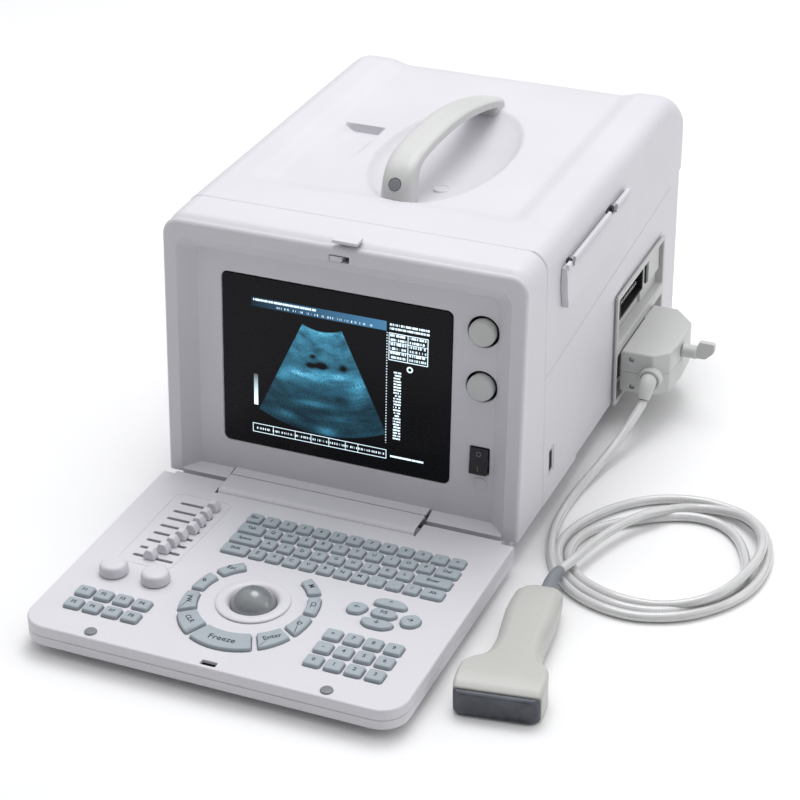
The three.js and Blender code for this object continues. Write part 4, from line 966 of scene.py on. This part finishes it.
def corner_round(points, corners, r, n=4):
    """Rounds the corners of an outline that are named by their index."""
    made = []
    for i, p in enumerate(points):
        if i not in corners:
            made.append(p)
            continue
        p, a, b = Vector(p), Vector(points[i - 1]), Vector(points[(i + 1) % len(points)])
        s = p + (a - p).normalized() * min(r, (a - p).length * 0.9)
        e = p + (b - p).normalized() * min(r, (b - p).length * 0.9)
        made += bend(s, p, e, n)
    return made


ARROWS = [
    ([(69.6, -141), (71, -133), (78, -130), (86.5, -132.5), (86.5, -139), (82.5, -145.5), (74, -146.5)], "←"),
    ([(87, -128.2), (87, -122), (94, -117.8), (108, -117.8), (115, -122), (115, -128.2), (108, -129.3),
      (94, -129.3)], "↑"),
    ([(89, -137.6), (93, -131.6), (108.6, -131.6), (112.8, -137.6), (108.6, -143.8), (93, -143.8)], "F/S"),
    ([(87, -147.4), (94, -146.2), (107, -146.2), (114, -147.4), (114, -153.6), (107, -158.4), (94, -158.4),
      (87, -153.6)], "↓"),
    ([(115.4, -136), (115.4, -142), (120, -148.4), (128, -147.4), (132.6, -141), (131, -133), (124, -130)], "→"),
]
RING = [(-32, -5.5, "D"), (-2, 26, "CL"), (30, 56, "M"), (123, 150, "Esc"), (155, 183, "B"), (187, 215, "PW"),
    (218, 244.5, "CLR")]


def key_sets():
    """Every key pad as CAD node -> (body, base outline, [(outline, x, y, turn, label, size)])."""
    rows = [
        (-52, [15] * 13, ["Esc", *"1234567890", "-", "="]),
        (-67.6, [24] + [15] * 10 + [22], ["Tab", *"QWERTYUIOP", "Del"]),
        (-83.4, [27.5] + [15] * 9 + [33], ["Space", *"ASDFGHJKL", "Enter"]),
        (-99, [25] + [15] * 10 + [20.5], ["Shift", *"ZXCVBNM,.", "/", "Alt"]),
    ]
    main = [(*k, 0.0, label, 4.6) for y, w, labels in rows for k, label in zip(key_row(-59.2, y, w), labels)]

    def grid(xs, ys, w, d, labels, size):
        cells = [(x, y) for y in ys for x in xs]
        return [(rect_key(x, y, w, d), x, y, 0.0, label, size) for (x, y), label in zip(cells, labels)]

    left = grid([-130, -113.2, -96.2, -79.2], [-196.6, -214.2], 14.8, 13.6, [f"F{i}" for i in range(1, 9)], 4.6)
    numeric = grid([75.8, 92.7, 109.5, 126.4], [-177.7, -195.4, -213.2], 14.6, 14, "+789-4560123", 5.2)
    arrows = []
    for pts, label in ARROWS:
        cx, cy = sum(p[0] for p in pts) / len(pts), sum(p[1] for p in pts) / len(pts)
        arrows.append((soften(pts, 3.2), cx, cy, 0.0, label, 6.0 if len(label) == 1 else 4.6))
    ring = []
    for a0, a1, label in RING:
        pts, x, y, middle = ring_key(a0, a1)
        turn = middle - (90 if middle < 90 else 270 if middle > 200 else 150) if label != "Esc" else 0.0
        ring.append((pts, x, y, turn, label, 5.6))
    mat_edge = [(x, min(y, -107.9)) for x, y in ring_edge(-34, 246.5, 60, 1, 1.7)]
    ring_base = mat_edge + ring_edge(246.5, -34, 60, 0, -1.7)
    freeze, fx, fy, fm = ring_key(247.5, 295)
    enter, ex, ey, em = ring_key(299, 324.5)
    return {
        "keypad_main": ("keys_main", round_rect(-60.5, 137, -107.4, -43.6, 1, 1), main),
        "keypad_left": ("keys_left", round_rect(-139, -70, -222.6, -188, 1, 1), left),
        "keypad_numeric": ("keys_numeric", round_rect(66.8, 135.4, -221.8, -169, 1, 1), numeric),
        "keypad_arrows": ("keys_arrows", round_rect(68, 134, -160, -116, 6, 2), arrows),
        "keypad_ring": ("keys_ring", ring_base, ring),
        "freeze_key": ("key_freeze", inset(freeze, -0.6), [(freeze, fx, fy, fm - 270, "Freeze", 7.8)]),
        "enter_key": ("key_enter", inset(enter, -0.6), [(enter, ex, ey, em - 270, "Enter", 6.2)]),
    }


def label_mesh(text, x, y, turn, size):
    curve = bpy.data.curves.new("label", "FONT")
    curve.body, curve.size = text, size * 1.08
    curve.align_x = curve.align_y = "CENTER"
    curve.extrude, curve.offset = 0.05, 0.1
    curve.resolution_u = 2
    obj = placed("label", curve)
    obj.matrix_world = shift((x, y, LABEL_Z)) @ Matrix.Rotation(radians(turn), 4, "Z")
    bpy.context.view_layer.update()
    graph = bpy.context.evaluated_depsgraph_get()
    mesh = bpy.data.meshes.new_from_object(obj.evaluated_get(graph))
    mesh.transform(obj.matrix_world)
    bpy.data.objects.remove(obj)
    return placed("label", mesh)


def keys():
    for node, (body, base, caps) in key_sets().items():
        sheet = slab(base, 22.4, 24, "z")
        tops = combine([slab(inset(points, 0.45), 23.6, 29.98, "z", 0.0, 1.5, seg=4) for points, *_ in caps])
        piece(join(sheet, tops), "pad_" + body, body, "key", node, angle=50)
        labels = combine([label_mesh(label, x, y, turn, size) for _, x, y, turn, label, size in caps])
        piece(labels, "print_" + body, body, "print")


def keyboard_shells():
    def level(by, z):
        return [(x, y, z) for x, y in inset(keyboard_outline(0), by)]

    r = 1.8
    rim = [level(r * (1 - cos(pi / 2 * k / 4)), KB_TOP - r + r * sin(pi / 2 * k / 4)) for k in range(5)]
    top = loft([level(0.35, KB_SPLIT + 0.15), level(0, KB_SPLIT + 0.5)] + rim)
    cut(top, slab(keyboard_outline(3), 0, KB_TOP - 2.6))
    outlines = [points for _, _, caps in key_sets().values() for points, *_ in caps]
    cut(top, combine([flare(points, 20, KB_TOP, 0.5) for points in outlines]))
    slots = [flare(round_rect(-122, -86, y - 1.6, y + 1.6, 1.4, 4), 20, KB_TOP, 0.35) for y in SLIDER_Y]
    slots += [flare(circle(x, y, 3.4, 24), 20, KB_TOP, 0.3) for x, y in GAIN]
    slots += [flare(circle(BALL[0], BALL[1], 24.3, 64), 20, KB_TOP, 0.4)]
    slots += [flare(round_rect(-3.5, 9.5, -246.5, -241, 1, 3), 20, KB_TOP, 0.4)]
    cut(top, combine(slots))
    # fine moulded groove round the slider field
    field = [(-131, -41), (-127, -38), (-83, -38), (-79.5, -41), (-79.5, -66), (-83, -140), (-86, -145),
        (-127, -145), (-131, -141)]
    field = soften(field, 5)
    cut(top, stepped(field, [(-0.55, 27.3), (0.55, 27.3), (0.1, 26.55), (-0.1, 26.55)], closed=True))
    ear = [(-27, 24.6), (-25.6, 25.7), (-6.4, 25.7), (-6, 26.1), (-6, 26.6), (-6.5, KB_TOP), (-27, KB_TOP)]
    join(top, *[slab(ear, x0, x1, "x", 0.2, 0.2) for x0, x1 in ((-149, -103.3), (80.3, 149))])
    piece(top, "kb_top", "keyboard", "shell", "keyboard_top_shell")

    quarter = [pi / 2 * (1 - k / 4) for k in range(5)]
    low = [level(r * (1 - cos(a)), KB_BOTTOM + r * (1 - sin(a))) for a in quarter]
    bottom = loft(low + [level(0, KB_SPLIT - 0.6), level(0.45, KB_SPLIT - 0.15)])
    cut(bottom, slab(keyboard_outline(3), KB_BOTTOM + 2.6, 30))
    barrel = [(-26, KB_BOTTOM), (AXIS_Y, 9.1), (AXIS_Y, 24.9), (-17, 23.2), (-19.7, 20), (-20.2, 17.2),
        (-26, 17.2)]
    join(bottom, slab(barrel, -101.3, 78.3, "x"), slab(circle(AXIS_Y, AXIS_Z, 8, 48), -101.3, 78.3, "x"))
    cut(bottom, slab(circle(AXIS_Y, AXIS_Z, PIN_R, 24), -110, 90, "x"), slab(circle(BALL[0], BALL[1], 21.3, 56),
        0, 20))
    piece(bottom, "kb_bottom", "keyboard", "shell", "keyboard_bottom_shell")

    cover_line = [(-24, KB_TOP + 0.3), (-23.2, 28.6), (-22.0, 29.5), (-20.4, 30.2), (-18, 30.5), (1.2, 30.5),
        (2.2, 29.4), (3.3, 27), (3.3, 20), (1.3, 20), (1.3, 26.6), (0.2, 28.3), (-18, 28.5),
        (-20.4, KB_TOP + 0.3)]
    strip = stepped(cover_line, [(0.5, -101), (0.15, -100.7), (0, -100.2), (0, 77.2), (0.15, 77.7), (0.5, 78)],
        "x")
    piece(strip, "kb_hinge_cover", "keyboard", "shell", "hinge_cover", slot="bezel")


def keyboard_controls():
    at_ball = shift((BALL[0], BALL[1], 0))
    crest = [(18.4, 20), (23.8, 20), (23.8, 26), (23.8, KB_TOP + 0.25), (29.6, KB_TOP + 0.25)]
    crest += [(30, 27.7), (29.8, 28.4), (29.1, 29.0), (27.8, 29.4), (25.8, 29.6), (23.6, 29.5), (21.8, 29.0),
        (20.7, 28.2), (19.7, 26.9), (18.9, 25.4), (18.4, 23.6)]
    piece(turned(crest, 72, at_ball), "ball_ring", "keyboard", "shell", "trackball_ring")
    ball = [(BALL_R * sin(pi * k / 28), -BALL_R * cos(pi * k / 28)) for k in range(29)]
    ball[0], ball[-1] = (0, -BALL_R), (0, BALL_R)
    piece(turned(ball, 56, shift(BALL)), "ball", "ball", "ball", "trackball", slot="mid_grey")

    for i, (x, y) in enumerate(zip(SLIDER_X, SLIDER_Y), 1):
        rows = [(10.2, 8.2, 0.7, 1.3), (10.2, 8.2, 3.0, 1.3), (9.5, 8.1, 4.6, 1.2), (6.4, 7.7, 7.4, 1.1),
            (5.2, 7.1, 8.2, 1.0), (3.6, 5.8, 8.55, 0.8)]
        cap = loft([lift(centred(x, y, w, d, r, 3), "z", KB_TOP + z) for w, d, z, r in rows])
        stem = [box(x - 2, x + 2, y - 1.2, y + 1.2, 22, 29), box(x - 5, x + 5, y - 4, y + 4, 21.4, 23.6)]
        piece(join(cap, *stem), f"gain_cap_{i}", f"gain_slider_{i}", "shell", f"slider_{i}", angle=45)
    for i, (x, y) in enumerate(GAIN, 1):
        profile = [(0, 20.6), (3, 20.6), (3, 27.6), (11.3, 27.6), (11.8, 28.1), (11.8, 31.6), (11.6, 33.2),
            (11.1, 34.7), (10.3, 35.9), (9.1, 36.6), (7.4, 36.9), (0, 37.0)]
        piece(turned(profile, 64, shift((x, y, 0))), f"gain_dial_cap_{i}", f"gain_dial_{i}", "shell",
            f"gain_knob_{i}")
    for i, (x, y) in enumerate(BUMPERS, 1):
        pad = turned([(0, KB_TOP + 0.05), (5, KB_TOP + 0.05), (5, 27.7), (4.5, 28.3), (3.4, 28.55), (0, 28.6)],
            40, shift((x, y, 0)))
        piece(pad, f"bumper_pad_{i}", "keyboard", "mid_grey", f"bumper_{i}")


# ------------------------------------------------------------------ plug and probe
def plug():
    plan = [(163, 258), (193, 258), (205.5, 270), (207.8, 300), (206, 334), (187, 355), (163, 355.5)]
    plan = corner_round(plan, {1, 2, 4, 5}, 2.0)
    body = slab(plan, 32.6, 73.4, "z", 1.8, 1.8)
    collar = slab(circle(EXIT_X, EXIT_Z, 10.5, 48), 252, 260, "y", 1.2, 0)
    join(body, collar)
    cut(body, slab(circle(EXIT_X, EXIT_Z, 8.2, 40), 248, 257.2, "y"))
    join(body, box(141, 164, 271, 342, 41.5, 62.5))
    cut(body, slab(circle(LEVER_Y, LEVER_Z, 4.9, 32), 203, 215, "x"))
    # seam between the two halves of the housing
    seam = [(0, 52.6), (0, 53.4), (0.95, 53.1), (0.95, 52.9)]
    cut(body, stepped(inset(plan, -0.5), seam, closed=True))
    screws_at = [(173, 66), (174, 38.5)]
    cut(body, *[slab(circle(x, z, 2.6, 28), 250, 260.5, "y") for x, z in screws_at])
    piece(body, "plug_housing", "probe_set", "light_grey", "connector_housing")
    screws = []
    for x, z in screws_at:
        head = turned([(0, -2), (2.4, -2), (2.4, -0.4), (1.7, 0), (0, 0.1)],
            28, shift((x, 259.6, z)) @ FACE_FRONT)
        screws.append(cut(head, box(x - 3, x + 3, 258, 260.1, z - 0.35, z + 0.35)))
    piece(combine(screws), "plug_screws", "probe_set", "metal")
    relief = sleeve([(191.5, 257, 51.3, 7.4), (191.5, 252.5, 51.3, 7.6), (191.5, 249.5, 50.9, 7.6),
        (191.5, 247, 49.8, 7.4), (191.5, 244.4, 48.0, 7.0), (191.5, 242, 45.3, 6.4), (191.45, 239.7, 42.3, 5.9),
        (191.4, 238.2, 40.4, 5.5), (191.4, 237.4, 39.35, 5.1)], 40)
    piece(relief, "plug_relief", "probe_set", "light_grey", "connector_relief", angle=60)
    shaft = slab(circle(LEVER_Y, LEVER_Z, 4.4, 40), 203.8, 212, "x")
    hub = slab(circle(LEVER_Y, LEVER_Z + 2, 6.2, 40), 208.6, 222, "x", 0.6, 1.0)
    paddle = slab(soften([(219, 57.2), (219, 63), (222.6, 70.5), (223.5, 74), (237.4, 74), (238, 70.5),
        (237.2, 64.5), (230, 57.2)], 1.6), 297.2, 302.8, "y", 0.9, 0.9)
    piece(join(shaft, hub, paddle), "plug_lever", "lever", "light_grey", "lock_lever")


# sections of the probe: x, y, half width, bottom, top
PROBE = [(202.8, -46.6, 8.6, 9.6, 17.5), (202.7, -47.2, 11.4, 7.6, 20.5), (202.6, -49.5, 13.6, 5.8, 23.6),
    (202.4, -53.5, 15.3, 4.6, 26.6), (202.0, -59, 17.2, 3.7, 29.2), (201.5, -66, 19, 3, 30.8),
    (202.4, -77, 20.0, 2.5, 30.6), (203.5, -88, 20.5, 2, 30), (205.1, -100, 20.1, 1.7, 29.4),
    (206.5, -112, 19.4, 1.4, 28.8), (208, -122, 18.9, 1.2, 28.4), (209.3, -131, 19.2, 1, 28.2),
    (210.2, -140, 20.2, 0.8, 28.0), (210.7, -147.7, 22.6, 0.6, 27.9), (210.5, -152, 25.8, 0.55, 27.8),
    (210.5, -156.5, 29.6, 0.5, 27.8), (210.7, -161, 32.2, 0.5, 27.8), (210.8, -165, 33.6, 0.5, 27.7),
    (212, -173, 34.6, 0.5, 27.6), (213.6, -185, 34.4, 0.5, 27.2), (214.5, -190.2, 34.0, 0.8, 24),
    (214.7, -191.2, 33.4, 1.2, 22.6)]


def probe_loop(x, y, w, z0, z1, lead=0.0):
    """One section of the probe, its middle bowed forward by lead."""
    r = min(9.0, w * 0.7, max(3.0, 28 - w * 0.75), (z1 - z0) * 0.46)
    skew = 0.09 + 0.06 * ease((-y - 110) / 30)
    return [(x + u * cos(0.17), y + u * skew - lead * (1 - (u / w) ** 2), z)
        for u, z in round_rect(-w, w, z0, z1, r, 7)]


def probe():
    leads = [0.0] * (len(PROBE) - 3) + [2.5, 9.2, 9.6]
    body = loft([probe_loop(*p, lead=lead) for p, lead in zip(PROBE, leads)])
    cut(body, sleeve([(201.6, -43, 15.6, 6.7), (202.4, -50.4, 16.4, 6.7)], 40))
    piece(body, "probe_shell", "probe_set", "probe_grey", "probe_body", angle=50, slot="light_grey")
    rows = [(-190.9, 31.6, 2.4, 21.4, 9.4), (-191.9, 33.2, 1.3, 22.5, 9.6), (-193.0, 33.0, 1.4, 22.4, 9.9),
        (-194.2, 32.2, 2.2, 21.6, 10.1), (-194.8, 30.8, 3.6, 20.2, 10.2)]
    lens = loft([probe_loop(214.6, y, w, z0, z1, lead) for y, w, z0, z1, lead in rows])
    piece(lens, "probe_window", "probe_set", "lens", "probe_lens", angle=60)
    relief = sleeve([(200.55, -11, 14.4, 4.6), (200.2, -13, 14.4, 4.9), (199.5, -18, 14.5, 5.0),
        (199.3, -23, 14.7, 5.2), (199.5, -28, 14.9, 5.4), (200.1, -33, 15.2, 5.6), (201, -38, 15.5, 5.9),
        (201.6, -43, 15.8, 6.2), (202, -49, 16.2, 6.4)], 40)
    piece(relief, "probe_boot", "probe_set", "relief", "probe_relief", angle=60, slot="mid_grey")


# ------------------------------------------------------------------ CAD nodes that stay
def finish_cad_nodes():
    looks = {s["node"]: s["material_slot"] for s in frame["record"]["subparts"]}
    for name, node in frame["nodes"].items():
        if node.hide_render:
            continue
        node.data.materials.clear()
        node.data.materials.append(M[looks[name]])


# ------------------------------------------------------------------ studio
def area_light(name, at, aim, size, power):
    data = bpy.data.lights.new(name, "AREA")
    data.shape, data.size, data.energy = "DISK", size, power
    lamp = placed(name, data)
    lamp.location = at
    lamp.rotation_euler = (Vector(aim) - Vector(at)).to_track_quat("-Z", "Y").to_euler()


def sky():
    """Even light that is strongest overhead and weakest from the front."""
    world = bpy.data.worlds.new("studio")
    world.use_nodes = True
    tree = world.node_tree

    def calc(what, a, b):
        node = tree.nodes.new("ShaderNodeMath")
        node.operation = what
        for socket, value in zip(node.inputs, (a, b)):
            if isinstance(value, float):
                socket.default_value = value
            else:
                tree.links.new(value, socket)
        return node.outputs[0]

    split = tree.nodes.new("ShaderNodeSeparateXYZ")
    tree.links.new(tree.nodes.new("ShaderNodeTexCoord").outputs["Generated"], split.inputs[0])
    above = calc("MAXIMUM", split.outputs["Z"], 0.0)
    ahead = calc("MAXIMUM", calc("MULTIPLY", split.outputs["Y"], -1.0), 0.0)
    level = calc("ADD", calc("MULTIPLY", above, 1.4), 0.1)
    level = calc("MULTIPLY", level, calc("SUBTRACT", 1.0, calc("MULTIPLY", ahead, 0.86)))
    back = tree.nodes["Background"]
    back.inputs[0].default_value = (0.98, 0.985, 1.0, 1)
    tree.links.new(level, back.inputs[1])
    bpy.context.scene.world = world


def studio():
    mesh = bpy.data.meshes.new("floor")
    size = 30.0
    mesh.from_pydata([(-size, -size, 0), (size, -size, 0), (size, size, 0), (-size, size, 0)], [], [(0, 1, 2, 3)])
    mesh.materials.append(floor_paper())
    placed("floor", mesh)
    sky()
    area_light("overhead", (0.0, 0.35, 1.7), (0, 0.15, 0.2), 1.0, 6.6)
    area_light("key", (-0.3, 1.0, 2.6), (0, 0, 0.1), 1.5, 14)
    area_light("side", (2.4, 0.5, 1.0), (0.05, 0.1, 0.1), 1.2, 6)
    bpy.context.scene.view_settings.view_transform = "Standard"


bezel()
cover()
handle()
latch()
rail()
bay()
front_parts()
keyboard_shells()
keys()
keyboard_controls()
plug()
probe()
finish_cad_nodes()
studio()
